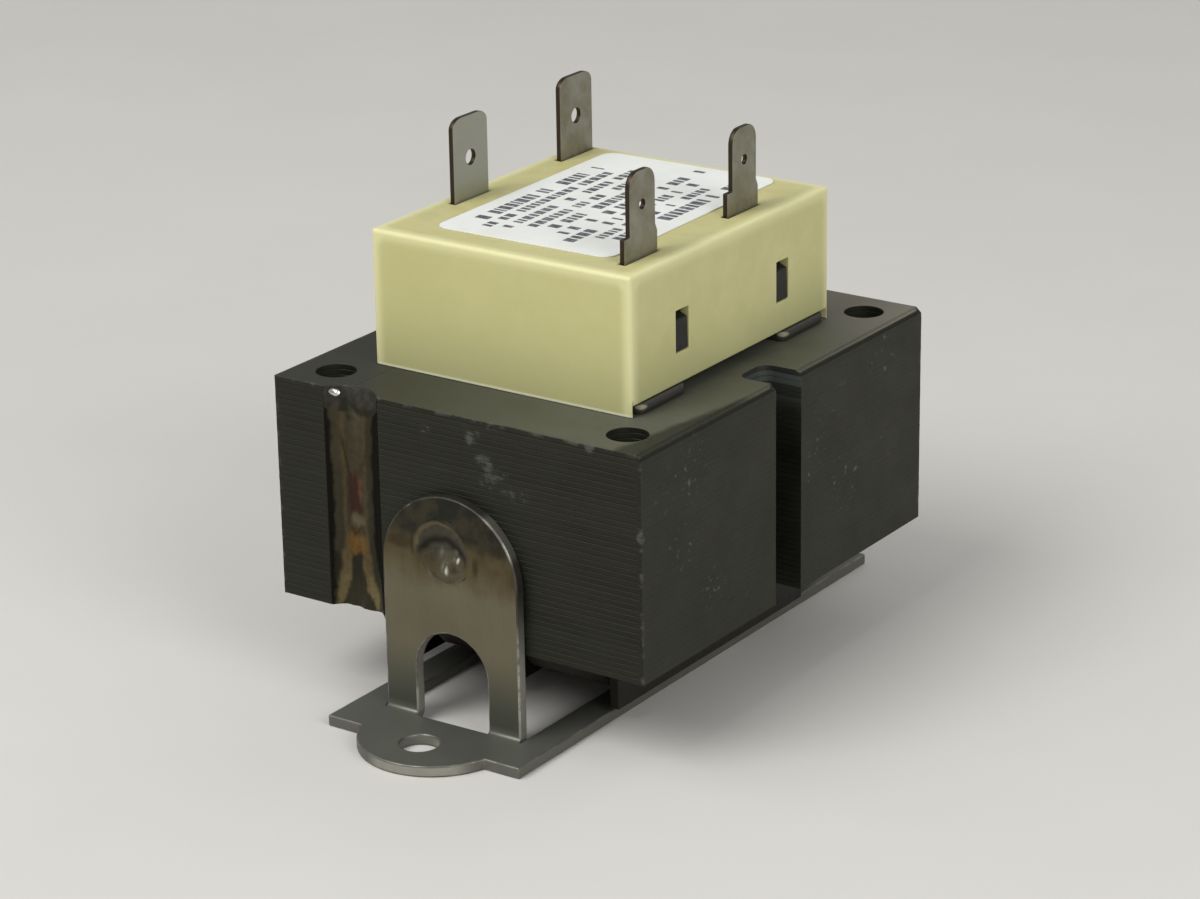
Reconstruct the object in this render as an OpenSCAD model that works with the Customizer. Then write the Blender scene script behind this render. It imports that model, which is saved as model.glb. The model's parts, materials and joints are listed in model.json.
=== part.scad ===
// Open-frame control transformer: a welded laminated core, a wound bobbin, a terminal cap
// and a foot bracket.
// X runs along the coil's axis, Y along the core's length and Z up. The origin lies on the table,
// under the middle of the core.

/* [Core] */
// Width of the centre leg that the coil sits on
tongue_w = 19.05; // [14:0.05:26]
// Width of each outer leg
side_leg_w = 9.525; // [8:0.025:14]
// Width of each coil window, from the centre leg to an outer leg
window_w = 9.525; // [8:0.025:14]
// Length of each coil window, along the legs
window_l = 28.575; // [24:0.025:38]
// Width of the yoke that joins the three legs
yoke_w = 9.525; // [8.5:0.025:14]
// Width of the bar that closes the open ends of the legs
bar_w = 9.525; // [8.5:0.025:14]
// Height of the lamination stack
stack_h = 25.4; // [16:0.1:40]
// Thickness of one lamination
lamination_t = 0.635; // [0.5:0.005:1.3]
// Height of the seam that shows between two laminations
seam_h = 0.1; // [0.05:0.01:0.2]
// Depth of that seam
seam_depth = 0.12; // [0.05:0.01:0.3]
// Diameter of the holes in the core's four corners
corner_hole_d = 4.5; // [3:0.1:5.5]
// Distance from the core's edges to the middle of a corner hole
corner_hole_inset = 4.76; // [4:0.02:5.2]
// Width of the notch in the back of the yoke
notch_w = 5.2; // [3:0.1:7]
// Depth of that notch
notch_depth = 5; // [3:0.1:6.5]
// Radius of the notch's inner corners
notch_r = 1.5; // [0.5:0.1:1.5]
// Radius of the rolled upper edge at the back of the yoke
rolled_edge_r = 0.9; // [0.3:0.1:1.5]

/* [Seam weld] */
// Width of the weld groove on the closing bar
groove_bar_w = 2.6; // [2:0.1:4]
// Width of the weld groove on the leg
groove_leg_w = 3.8; // [2:0.1:4]
// Depth of the weld groove
groove_depth = 1.9; // [1:0.1:2.5]
// Thickness of the weld bead in the middle of the groove
bead_t = 0.9; // [0.5:0.05:1.2]
// Height left bare above the weld bead
bead_top_gap = 1.6; // [0.5:0.1:4]

/* [Bobbin] */
// Clearance between the bobbin and the core
bobbin_clear = 0.25; // [0.1:0.05:0.5]
// Wall of the tube round the centre leg
tube_wall = 1; // [0.7:0.05:1.5]
// Thickness of the two end flanges and of the divider
flange_t = 1.2; // [0.8:0.05:1.8]
// How far a flange stands out past the tape
flange_lip = 0.4; // [0.2:0.05:0.8]
// Radius of a flange's upper corners
flange_r = 2; // [0.5:0.1:4]
// Length of a seat lug that rests on the core
lug_l = 8.7; // [4:0.1:9]
// Height of a seat lug
lug_h = 1.2; // [0.8:0.05:1.25]
// How far a seat lug stands out past the cap's wall
lug_out = 0.45; // [0:0.05:1]
// How far a terminal pocket stands out from its flange
pocket_out = 1.5; // [1.4:0.05:2.5]
// Height of a terminal pocket above its flange
pocket_rise = 3.1; // [2:0.1:5]
// Wall of a terminal pocket at the edges of the tab's tail
pocket_wall = 0.8; // [0.5:0.05:1.2]
// Clearance round a tab's tail in its pocket
pocket_clear = 0.05; // [0.02:0.01:0.15]

/* [Windings] */
// Clearance between the tube and a winding
winding_clear = 0.1; // [0.05:0.05:0.3]
// Air between the tape and the core's outer leg
coil_air = 1.125; // [0.6:0.025:2]
// Clearance between a winding and its flange or the divider
winding_side_clear = 0.15; // [0.05:0.05:0.4]
// Radius of a winding's outer corners
winding_r = 4; // [2:0.1:6]
// Clearance between a winding and its tape
wrap_clear = 0.05; // [0.03:0.01:0.1]
// Thickness of the tape
wrap_t = 0.4; // [0.2:0.05:0.8]
// Bare margin between the tape and the end flange, where the wire ends come out
wrap_margin = 1.5; // [1.4:0.1:3]
// Diameter of the primary wire
primary_wire_d = 0.5; // [0.3:0.05:0.8]
// Diameter of the secondary wire
secondary_wire_d = 1; // [0.6:0.05:1.1]

/* [Cap] */
// Wall of the cap
cap_wall = 1.2; // [0.9:0.05:2]
// Thickness of the cap's top
cap_top_t = 1.5; // [1:0.05:2.5]
// Clearance between the coil's tape and the cap's end walls
cap_coil_gap = 0.575; // [0.2:0.025:1]
// Clearance between a terminal pocket and the cap's side walls
cap_pocket_gap = 0.1; // [0.05:0.05:0.5]
// Room under the cap's top for the wire ends
lead_room = 2; // [1.4:0.1:4]
// Radius of the cap's upright edges
cap_corner_r = 0.5; // [0.3:0.1:1.8]
// Radius of the cap's upper edges
cap_edge_r = 0.5; // [0.3:0.1:2]
// Height of the gap under the cap's side walls
side_gap_h = 1.3; // [1.3:0.05:2.2]
// Thickness of the cap's end wall beside that gap
side_gap_lip = 0.3; // [0.3:0.05:1]
// Distance between the two catch windows in a side wall
catch_pitch = 20; // [12:0.1:24]
// Width of a catch window
catch_window_w = 2.5; // [1.6:0.1:4]
// Height of a catch window
catch_window_h = 4.7; // [3:0.1:6]
// Height of a catch window above the core
catch_window_z = 4.7; // [4:0.1:6]
// Clearance round a catch in its window
catch_clear = 0.1; // [0.1:0.05:0.4]
// How far a catch stands into the cap's wall
catch_bite = 1.15; // [0.4:0.05:1.2]
// How far a catch's face leans back between its foot and its slope
catch_lean = 0.1; // [0:0.05:0.4]
// Height of the slope on top of a catch
catch_slope_h = 1; // [0.5:0.1:2]

/* [Tabs] */
// Thickness of a tab
tab_t = 0.6; // [0.4:0.05:0.8]
// Height of a tab above the cap
tab_reach = 9.4; // [7:0.1:14]
// Clearance round a tab in the cap's slot
slot_clear = 0.25; // [0.05:0.05:0.3]
// Width of a tab's tail
tail_w = 3.4; // [2.5:0.1:4]
// Length of a tab's tail
tail_l = 5.5; // [4:0.1:6.5]
// Width of a primary tab
primary_tab_w = 6.35; // [4.8:0.05:8]
// Distance from the flange's outer face out to the middle of a primary tab
primary_tab_out = 0.7; // [0.4:0.05:0.9]
// Distance from the cap's rear face to the rear primary tab's edge
primary_tab_margin = 0.75; // [0.6:0.05:3]
// Distance between the two primary tabs
primary_pitch = 20.3; // [14:0.1:22]
// Width of the rounds at a primary tab's upper corners
primary_tip_w = 1.7; // [0.4:0.1:2]
// Height of those rounds
primary_tip_h = 1.2; // [0.4:0.1:3]
// Diameter of the hole in a primary tab
primary_hole_d = 1.8; // [1:0.1:2.5]
// Height of that hole above the cap
primary_hole_z = 4.6; // [3:0.1:6]
// Width of a secondary tab
secondary_tab_w = 4.75; // [3.5:0.05:6]
// Width of a secondary tab's wide foot
secondary_foot_w = 6.2; // [4.8:0.05:8]
// Sideways shift of that foot
secondary_foot_shift = -0.35; // [-0.8:0.05:0]
// Height of the foot's front shoulder above the cap
secondary_shoulder_z = 2.6; // [1.5:0.1:4]
// Height of the slope that stands for its rear shoulder
secondary_shoulder_slope = 0.8; // [0.2:0.1:1.5]
// Distance from the flange's outer face out to the middle of a secondary tab
secondary_tab_out = -0.5; // [-0.8:0.05:0.9]
// Distance from the cap's front face to the middle of the front secondary tab
secondary_tab_inset = 6.85; // [5:0.05:9]
// Distance between the two secondary tabs
secondary_pitch = 19.8; // [14:0.1:22]
// Width of the rounds at a secondary tab's upper corners
secondary_tip_w = 1.6; // [0.4:0.1:1.8]
// Height of those rounds
secondary_tip_h = 1.7; // [0.4:0.1:3]
// Diameter of the hole in a secondary tab
secondary_hole_d = 1.1; // [0.6:0.1:2]
// Height of that hole above the cap
secondary_hole_z = 5.7; // [4:0.1:7]

/* [Label] */
// Margin between the label and the cap's side faces
label_side_margin = 5.5; // [5.2:0.1:9]
// Margin between the label and the cap's end faces
label_end_margin = 2.7; // [2.5:0.1:9]
// Sideways shift of the label
label_shift_x = -0.1; // [-1:0.05:1]
// Lengthwise shift of the label
label_shift_y = 1.3; // [-1.4:0.1:1.4]
// Angle by which the label is stuck on askew
label_turn = 0.8; // [-2:0.1:2]
// Thickness of the label
label_t = 0.15; // [0.1:0.01:0.3]
// Radius of the label's corners
label_r = 1.5; // [0.5:0.1:4]

/* [Bracket] */
// Thickness of the bracket's sheet
sheet_t = 1.3; // [0.8:0.05:2]
// Inside radius of the bracket's folds
fold_r = 0.4; // [0.2:0.05:1]
// Gap between the coil and the bracket's plate
coil_foot_gap = 0.6; // [0.2:0.05:2]
// Width of the plate
plate_w = 25.4; // [22:0.1:36]
// How far the plate runs out past the core's end faces
plate_out = 7; // [5:0.1:12]
// Radius of the half-round feet
foot_r = 8.6; // [7:0.1:10]
// How far a foot's centre lies inside the plate's end
foot_inset = 2.7; // [1:0.1:4]
// Diameter of the foot holes
foot_hole_d = 4.3; // [3:0.1:6]
// Distance from the plate's end out to the middle of a foot hole
foot_hole_out = 0.4; // [-1:0.1:1.5]
// Width of an ear
ear_w = 17.75; // [14:0.05:20]
// Height by which an ear laps the core's end face
ear_lap = 16.45; // [12:0.05:20]
// Width of the arched opening in an ear
arch_w = 9.4; // [6:0.1:11]
// Height of the arched opening above the table
arch_h = 11.5; // [8:0.1:13]
// Gap left by the cut between an ear and the plate
lance_gap = 0.2; // [0.1:0.05:0.5]
// Sideways shift of an ear weld
ear_weld_shift = -1; // [-2:0.1:2]
// Height of an ear weld above the core's underside
ear_weld_z = 10; // [8:0.1:11]
// Diameter of the dimple round an ear weld
dimple_d = 7.6; // [5:0.1:9]
// Depth of that dimple
dimple_depth = 0.45; // [0.2:0.05:0.6]
// Diameter of the weld's nugget
nugget_d = 3.2; // [2.5:0.1:4.5]
// How far the nugget's head stands out of the dimple
nugget_head = 0.4; // [0.1:0.05:0.8]

/* [Hidden] */
$fn = 64;
// Number of sides for large or shallow rounds
fine_fn = 512;
// How far a cutting shape runs past the face that it cuts
over = 1;
// Overlap of two shapes that join flush
eps = 0.01;
// Angle between the points that draw a round of a tab's tip
tip_step = 15;
// Clearance between a weld and the metal round it
weld_gap = 0.02;

steel_dark = "#3a3b37";
steel_grey = "#66635a";
weld_brown = "#5d4a37";
tin_grey = "#80795f";
nylon_cream = "#beb882";
nylon_dark = "#33322f";
copper = "#9a5b34";
tape_brown = "#3b2a1c";
paper_white = "#ecece8";

// Core, in plan
core_w = bar_w + window_l + yoke_w;
core_l = tongue_w + 2 * window_w + 2 * side_leg_w;
joint_x = -core_w / 2 + bar_w;
yoke_x = joint_x + window_l;
coil_x = (joint_x + yoke_x) / 2;
core_end_y = core_l / 2;
groove_x = joint_x + (groove_leg_w - groove_bar_w) / 2;
groove_half = (groove_leg_w + groove_bar_w) / 2;
groove_r = (groove_half * groove_half + groove_depth * groove_depth) / (2 * groove_depth);

// Coil section, outwards from the centre leg
tube_off = bobbin_clear + tube_wall;
winding_in = tube_off + winding_clear;
winding_build = window_w - winding_in - wrap_clear - wrap_t - coil_air;
wrap_in = winding_in + winding_build + wrap_clear;
wrap_out = wrap_in + wrap_t;
coil_end_h = wrap_out + flange_lip;

// Heights, from the table up
core_z = sheet_t + coil_foot_gap + coil_end_h;
core_top = core_z + stack_h;
core_mid_z = core_z + stack_h / 2;
flange_top = core_top + coil_end_h;
pocket_top = flange_top + pocket_rise;
cap_ceiling = pocket_top + lead_room;
cap_top = cap_ceiling + cap_top_t;
tab_tip = cap_top + tab_reach;
lead_z = pocket_top + lead_room / 2;

// Bobbin, along the coil's axis and across it
flange_out = window_l / 2 - bobbin_clear;
flange_in = flange_out - flange_t;
pocket_x = flange_out + pocket_out;
flange_half_y = tongue_w / 2 + window_w - bobbin_clear;

// Cap
cap_in_w = 2 * (pocket_x + cap_pocket_gap);
cap_in_l = tongue_w + 2 * (wrap_out + cap_coil_gap);
cap_w = cap_in_w + 2 * cap_wall;
cap_l = cap_in_l + 2 * cap_wall;
cap_h = cap_top - core_top;
flange_top_half_y = cap_in_l / 2 - cap_pocket_gap;
catch_z = core_top + catch_window_z;

// Tabs
primary_x = coil_x - flange_out - primary_tab_out;
secondary_x = coil_x + flange_out + secondary_tab_out;
primary_rear_y = cap_l / 2 - primary_tab_margin - primary_tab_w / 2;
primary_y = [primary_rear_y - primary_pitch, primary_rear_y];
secondary_front_y = -cap_l / 2 + secondary_tab_inset;
secondary_y = [secondary_front_y, secondary_front_y + secondary_pitch];

// Bracket
ear_in_y = core_end_y;
ear_out_y = ear_in_y + sheet_t;
fold_y = ear_out_y + fold_r;
plate_end_y = core_end_y + plate_out;
ear_top = core_z + ear_lap;
foot_y = plate_end_y - foot_inset;
foot_hole_y = plate_end_y + foot_hole_out;
window_end_y = fold_y - (ear_top - sheet_t);
ear_weld_height = core_z + ear_weld_z;
dimple_r = (dimple_d * dimple_d / 4 + dimple_depth * dimple_depth) / (2 * dimple_depth);
nugget_l = sheet_t - dimple_depth + nugget_head;

// Rectangle about the origin with round corners
module rounded_rect(w, l, r) {
  square([w - 2 * r, l], center = true);
  square([w, l - 2 * r], center = true);
  for (sx = [-1, 1], sy = [-1, 1])
    translate([sx * (w / 2 - r), sy * (l / 2 - r)]) circle(r);
}

// Turns a flat shape drawn in Y and Z, of thickness t, to stand across the X axis at x
module across_x(x, t) {
  translate([x - t / 2, 0, 0]) rotate([90, 0, 90]) linear_extrude(t) children();
}

// Turns a flat shape drawn in X and Z to stand on the face y, facing away from the core
module on_end_face(y, t) {
  translate([0, y, 0]) rotate([90, 0, 0]) linear_extrude(t) children();
}

// Places its children on the front end and, turned half round, on the rear end
module at_end(rear) {
  rotate(rear ? 180 : 0) children();
}

module corner_holes(x) {
  for (s = [-1, 1])
    translate([x, s * (core_end_y - corner_hole_inset)]) circle(d = corner_hole_d);
}

module weld_grooves() {
  for (s = [-1, 1])
    translate([groove_x, s * (core_end_y + groove_r - groove_depth)]) circle(groove_r);
}

module yoke_notch() {
  translate([core_w / 2 - notch_depth / 2 + notch_r, 0])
    rounded_rect(notch_depth + 2 * notch_r, notch_w, notch_r);
}

// Thin rings that cut the seams between the laminations into the stack's outer faces
module lamination_seams() {
  count = round(stack_h / lamination_t);
  for (k = [1 : count - 1])
    translate([0, 0, core_z + k * stack_h / count - seam_h / 2])
      linear_extrude(seam_h)
        difference() {
          square([core_w + 2 * over, core_l + 2 * over], center = true);
          square([core_w - 2 * seam_depth, core_l - 2 * seam_depth], center = true);
        }
}

// Stack of E laminations: three legs on a yoke, with the rolled edge along the back
module e_lamination_stack() {
  color(steel_dark) difference() {
    translate([0, 0, core_z]) linear_extrude(stack_h) difference() {
      translate([joint_x, -core_end_y]) square([core_w / 2 - joint_x, core_l]);
      for (s = [-1, 1])
        translate([coil_x - eps, s * (tongue_w + window_w) / 2])
          square([window_l + 2 * eps, window_w], center = true);
      corner_holes(core_w / 2 - corner_hole_inset);
      weld_grooves();
      yoke_notch();
    }
    lamination_seams();
    translate([core_w / 2 - rolled_edge_r, 0, core_top - rolled_edge_r])
      rotate([90, 0, 0]) linear_extrude(core_l + 2 * over, center = true) difference() {
        square(rolled_edge_r + over);
        circle(rolled_edge_r);
      }
  }
}

// Stack of straight bars that closes the legs
module i_lamination_stack() {
  color(steel_dark) difference() {
    translate([0, 0, core_z]) linear_extrude(stack_h) difference() {
      translate([-core_w / 2, -core_end_y]) square([bar_w, core_l]);
      corner_holes(-core_w / 2 + corner_hole_inset);
      weld_grooves();
    }
    lamination_seams();
  }
}

// Weld bead that fills the bottom of one groove, with a crowned face
module weld_bead(rear) {
  side = rear ? 1 : -1;
  floor_y = core_end_y - groove_depth;
  crown_r = 2 * groove_r;
  color(weld_brown)
    translate([groove_x, 0, core_z]) linear_extrude(stack_h - bead_top_gap) intersection() {
      translate([0, side * (floor_y + groove_r)]) circle(groove_r - weld_gap, $fn = fine_fn);
      translate([0, side * (floor_y + bead_t - crown_r)]) circle(crown_r, $fn = fine_fn);
    }
}

// Bobbin flange outline in Y and Z: wide in the core's windows, narrower inside the cap
module flange_outline() {
  difference() {
    union() {
      translate([-flange_half_y, core_z - coil_end_h])
        square([2 * flange_half_y, coil_end_h + stack_h]);
      translate([0, core_top]) intersection() {
        rounded_rect(2 * flange_top_half_y, 2 * coil_end_h, flange_r);
        translate([-flange_half_y, -eps]) square([2 * flange_half_y, 2 * coil_end_h]);
      }
    }
    translate([0, core_mid_z])
      square([tongue_w + 2 * bobbin_clear, stack_h + 2 * bobbin_clear], center = true);
  }
}

// Lug that rests on the core, with a half-round outer edge; side is the sign of its flange
module seat_lug(side, y) {
  reach = cap_w / 2 + lug_out - flange_in;
  translate([coil_x + side * flange_in, y, core_top])
    mirror([side < 0 ? 1 : 0, 0, 0])
      intersection() {
        rotate([90, 0, 0]) linear_extrude(lug_l, center = true) {
          square([reach - lug_h / 2, lug_h]);
          translate([reach - lug_h / 2, lug_h / 2]) circle(lug_h / 2);
        }
        linear_extrude(lug_h) translate([0, -lug_l / 2]) {
          square([reach - lug_h, lug_l]);
          translate([0, lug_h]) square([reach, lug_l - 2 * lug_h]);
          for (end = [lug_h, lug_l - lug_h])
            translate([reach - lug_h, end]) circle(lug_h);
        }
      }
}

// Catch that snaps into a window of the cap and fills it: flat below, sloped above
module cap_catch(side, y) {
  bottom = catch_z + catch_clear;
  top = catch_z + catch_window_h - catch_clear;
  tip = cap_in_w / 2 + catch_bite;
  translate([coil_x, y, 0])
    mirror([side < 0 ? 1 : 0, 0, 0])
      rotate([90, 0, 0]) linear_extrude(catch_window_w - 2 * catch_clear, center = true)
        polygon([
          [flange_in, bottom], [tip, bottom], [tip - catch_lean, top - catch_slope_h],
          [flange_out, top], [flange_in, top]
        ]);
}

// Terminal pocket on a flange, with a slot for the tab's tail
module terminal_pocket(side, x, y) {
  pocket_w = tail_w + 2 * pocket_wall;
  bottom = pocket_top - tail_l - pocket_wall;
  difference() {
    translate([min(side * flange_in, side * pocket_x) + coil_x, y - pocket_w / 2, bottom])
      cube([pocket_x - flange_in, pocket_w, pocket_top - bottom]);
    tail_slot(x, y);
  }
}

module tail_slot(x, y) {
  translate([x, y, pocket_top - tail_l / 2 + eps])
    cube([tab_t + 2 * pocket_clear, tail_w + 2 * pocket_clear, tail_l + 2 * pocket_clear], center = true);
}

// Bobbin moulded in one piece: tube, two flanges, divider, seat lugs, catches and terminal pockets
module bobbin() {
  lug_y = flange_top_half_y - lug_l / 2;
  color(nylon_dark) difference() {
    union() {
      across_x(coil_x, 2 * flange_out) translate([0, core_mid_z]) difference() {
        square([tongue_w + 2 * tube_off, stack_h + 2 * tube_off], center = true);
        square([tongue_w + 2 * bobbin_clear, stack_h + 2 * bobbin_clear], center = true);
      }
      across_x(coil_x, flange_t) flange_outline();
      for (side = [-1, 1]) {
        across_x(coil_x + side * (flange_out - flange_t / 2), flange_t) flange_outline();
        for (y = [-lug_y, lug_y]) seat_lug(side, y);
        for (s = [-1, 1]) cap_catch(side, s * catch_pitch / 2);
      }
      for (y = primary_y) terminal_pocket(-1, primary_x, y);
      for (y = secondary_y) terminal_pocket(1, secondary_x, y);
    }
    for (y = primary_y) tail_slot(primary_x, y);
    for (y = secondary_y) tail_slot(secondary_x, y);
  }
}

// Ring round the bobbin's tube, drawn in Y and Z; off_in and off_out are measured from the centre leg
module coil_ring(off_in, off_out, r_in, r_out) {
  translate([0, core_mid_z]) difference() {
    rounded_rect(tongue_w + 2 * off_out, stack_h + 2 * off_out, r_out);
    rounded_rect(tongue_w + 2 * off_in, stack_h + 2 * off_in, r_in);
  }
}

// Wire end that climbs beside its flange and runs out over the pocket to its tab
module lead(side, wire_d, tab_x, y) {
  riser_x = coil_x + side * (flange_in - winding_side_clear - wire_d * 0.6);
  tab_face = tab_x - side * tab_t / 2;
  start_z = core_top + winding_in + winding_build - winding_r / 2;
  translate([riser_x, y, start_z]) cylinder(d = wire_d, h = lead_z - start_z);
  translate([riser_x, y, lead_z]) sphere(d = wire_d);
  translate([riser_x, y, lead_z]) rotate([0, side * 90, 0]) cylinder(d = wire_d, h = abs(tab_face - riser_x));
}

// Winding on one half of the bobbin, with its two wire ends
module winding(side, wire_d, tab_x, tabs_y) {
  inner = flange_t / 2 + winding_side_clear;
  outer = flange_in - winding_side_clear;
  color(copper) {
    across_x(coil_x + side * (inner + outer) / 2, outer - inner)
      coil_ring(winding_in, winding_in + winding_build, winding_clear, winding_r);
    for (y = tabs_y) lead(side, wire_d, tab_x, y);
  }
}

module primary_winding() { winding(-1, primary_wire_d, primary_x, primary_y); }
module secondary_winding() { winding(1, secondary_wire_d, secondary_x, secondary_y); }

// Tape round one winding
module wrap(side) {
  inner = flange_t / 2 + winding_side_clear;
  outer = flange_in - wrap_margin;
  color(tape_brown) across_x(coil_x + side * (inner + outer) / 2, outer - inner)
    coil_ring(wrap_in, wrap_out, winding_r + wrap_clear, winding_r + wrap_clear + wrap_t);
}

module primary_wrap() { wrap(-1); }
module secondary_wrap() { wrap(1); }

// Tab blade drawn in Y and Z, from its pocket up: straight sides, then the blunt round corners of its tip
module blade(w, tip_w, tip_h) {
  rear = [for (a = [0 : tip_step : 90])
    [w / 2 - tip_w * (1 - cos(a)), tab_tip - tip_h * (1 - sin(a))]];
  front = [for (a = [90 : -tip_step : 0])
    [-w / 2 + tip_w * (1 - cos(a)), tab_tip - tip_h * (1 - sin(a))]];
  polygon(concat([[-w / 2, pocket_top], [w / 2, pocket_top]], rear, front));
}

module tab_tail() {
  translate([-tail_w / 2, pocket_top - tail_l]) square([tail_w, tail_l + eps]);
}

module primary_tab(y) {
  color(tin_grey) translate([0, y, 0]) across_x(primary_x, tab_t) difference() {
    union() {
      blade(primary_tab_w, primary_tip_w, primary_tip_h);
      tab_tail();
    }
    translate([0, cap_top + primary_hole_z]) circle(d = primary_hole_d);
  }
}

// Wide foot of a secondary tab, drawn in Y and Z, with a square front shoulder and a sloped rear one
module secondary_foot() {
  front = secondary_foot_shift - secondary_foot_w / 2;
  rear = secondary_foot_shift + secondary_foot_w / 2;
  shoulder = cap_top + secondary_shoulder_z;
  polygon([
    [front, pocket_top], [rear, pocket_top], [rear, shoulder - secondary_shoulder_slope / 2],
    [secondary_tab_w / 2, shoulder + secondary_shoulder_slope / 2], [-secondary_tab_w / 2, shoulder],
    [front, shoulder]
  ]);
}

module secondary_tab(y) {
  color(tin_grey) translate([0, y, 0]) across_x(secondary_x, tab_t) difference() {
    union() {
      blade(secondary_tab_w, secondary_tip_w, secondary_tip_h);
      secondary_foot();
      tab_tail();
    }
    translate([0, cap_top + secondary_hole_z]) circle(d = secondary_hole_d);
  }
}

module primary_tab_front() { primary_tab(primary_y[0]); }
module primary_tab_rear() { primary_tab(primary_y[1]); }
module secondary_tab_front() { secondary_tab(secondary_y[0]); }
module secondary_tab_rear() { secondary_tab(secondary_y[1]); }

// Upright outline with round upper corners, drawn from the origin to the right and up
module round_top(w, h, r) {
  square([w, h - r]);
  translate([r, 0]) square([w - 2 * r, h]);
  for (x = [r, w - r]) translate([x, h - r]) circle(r);
}

// Solid form of the cap: its plan crossed with its two upright outlines
module cap_form() {
  intersection() {
    linear_extrude(cap_h) rounded_rect(cap_w, cap_l, cap_corner_r);
    rotate([90, 0, 0]) linear_extrude(cap_l, center = true)
      translate([-cap_w / 2, 0]) round_top(cap_w, cap_h, cap_edge_r);
    rotate([90, 0, 90]) linear_extrude(cap_w, center = true)
      translate([-cap_l / 2, 0]) round_top(cap_l, cap_h, cap_edge_r);
  }
}

module tab_slot(x, y, w) {
  slot_h = cap_top_t + lead_room;
  translate([x, y, cap_ceiling])
    cube([tab_t + 2 * slot_clear, w + 2 * slot_clear, 2 * slot_h], center = true);
}

// Cap moulded as a shell, open below, with tab slots, catch windows and raised side walls
module terminal_cap() {
  color(nylon_cream) difference() {
    translate([coil_x, 0, core_top]) cap_form();
    translate([coil_x - cap_in_w / 2, -cap_in_l / 2, core_top - over])
      cube([cap_in_w, cap_in_l, cap_ceiling - core_top + over]);
    for (side = [-1, 1]) translate([coil_x + side * (cap_in_w + cap_wall) / 2, 0, 0]) {
      translate([0, 0, core_top])
        cube([cap_wall + 2 * eps, cap_l - 2 * side_gap_lip, 2 * side_gap_h], center = true);
      for (s = [-1, 1])
        translate([0, s * catch_pitch / 2, catch_z + catch_window_h / 2])
          cube([cap_wall + 2 * eps, catch_window_w, catch_window_h], center = true);
    }
    for (y = primary_y) tab_slot(primary_x, y, primary_tab_w);
    for (y = secondary_y) tab_slot(secondary_x, y + secondary_foot_shift, secondary_foot_w);
  }
}

// Paper label stuck on the cap
module rating_label() {
  color(paper_white)
    translate([coil_x + label_shift_x, label_shift_y, cap_top]) rotate(label_turn) linear_extrude(label_t)
      rounded_rect(cap_w - 2 * label_side_margin, cap_l - 2 * label_end_margin, label_r);
}

// Plate of the bracket in plan: half-round feet, foot holes and the windows that the ears leave
module bracket_plate() {
  window_half = ear_w / 2 + lance_gap;
  difference() {
    union() {
      square([plate_w, 2 * plate_end_y], center = true);
      for (s = [-1, 1]) translate([0, s * foot_y]) circle(foot_r);
    }
    for (s = [0, 180]) rotate(s) {
      translate([0, -foot_hole_y]) circle(d = foot_hole_d);
      translate([-window_half, -fold_y])
        square([2 * window_half, fold_y - window_end_y - window_half]);
      translate([0, -window_end_y - window_half]) circle(window_half);
    }
  }
}

// Ear outline in X and Z, with its arched opening
module ear_outline() {
  difference() {
    union() {
      translate([-ear_w / 2, sheet_t + fold_r]) square([ear_w, ear_top - ear_w / 2 - sheet_t - fold_r]);
      translate([0, ear_top - ear_w / 2]) circle(d = ear_w);
    }
    arch_outline();
  }
}

module arch_outline() {
  translate([-arch_w / 2, -over]) square([arch_w, arch_h - arch_w / 2 + over]);
  translate([0, arch_h - arch_w / 2]) circle(d = arch_w);
}

// One ear with its fold, on the front end
module bracket_ear() {
  difference() {
    union() {
      on_end_face(-ear_in_y, sheet_t) ear_outline();
      intersection() {
        translate([0, -fold_y, sheet_t + fold_r]) rotate([90, 0, 90])
          linear_extrude(ear_w, center = true) difference() {
            circle(sheet_t + fold_r);
            circle(fold_r);
          }
        translate([-ear_w / 2, -fold_y, 0]) cube([ear_w, sheet_t + fold_r, sheet_t + fold_r]);
      }
    }
    on_end_face(-ear_in_y + over, sheet_t + fold_r + 2 * over) arch_outline();
    translate([ear_weld_shift, 0, ear_weld_height]) {
      translate([0, -ear_out_y + dimple_depth - dimple_r, 0]) sphere(dimple_r, $fn = fine_fn);
      translate([0, -ear_in_y + over, 0]) rotate([90, 0, 0])
        cylinder(d = nugget_d + 2 * weld_gap, h = sheet_t + 2 * over);
    }
  }
}

// Bracket folded from one sheet
module mounting_bracket() {
  color(steel_grey) {
    linear_extrude(sheet_t) bracket_plate();
    for (rear = [false, true]) at_end(rear) bracket_ear();
  }
}

// Weld nugget that fills the hole in an ear, with a low domed head
module ear_weld(rear) {
  head_r = (nugget_d * nugget_d / 4 + nugget_head * nugget_head) / (2 * nugget_head);
  color(steel_grey) at_end(rear)
    translate([ear_weld_shift, -ear_in_y, ear_weld_height]) rotate([90, 0, 0])
      intersection() {
        cylinder(d = nugget_d, h = nugget_l);
        translate([0, 0, nugget_l - head_r]) sphere(head_r);
      }
}

module weld_bead_front() { weld_bead(false); }
module weld_bead_rear() { weld_bead(true); }
module ear_weld_front() { ear_weld(false); }
module ear_weld_rear() { ear_weld(true); }

e_lamination_stack();
i_lamination_stack();
weld_bead_front();
weld_bead_rear();
mounting_bracket();
ear_weld_front();
ear_weld_rear();
bobbin();
primary_winding();
secondary_winding();
primary_wrap();
secondary_wrap();
primary_tab_front();
primary_tab_rear();
secondary_tab_front();
secondary_tab_rear();
terminal_cap();
rating_label();
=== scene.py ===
"""Looks of a small open-frame control transformer, built up in the order in which it is put together."""

import json
import math
import random

import bmesh
import bpy
import numpy as np
from mathutils import Matrix, Vector, noise


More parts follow.
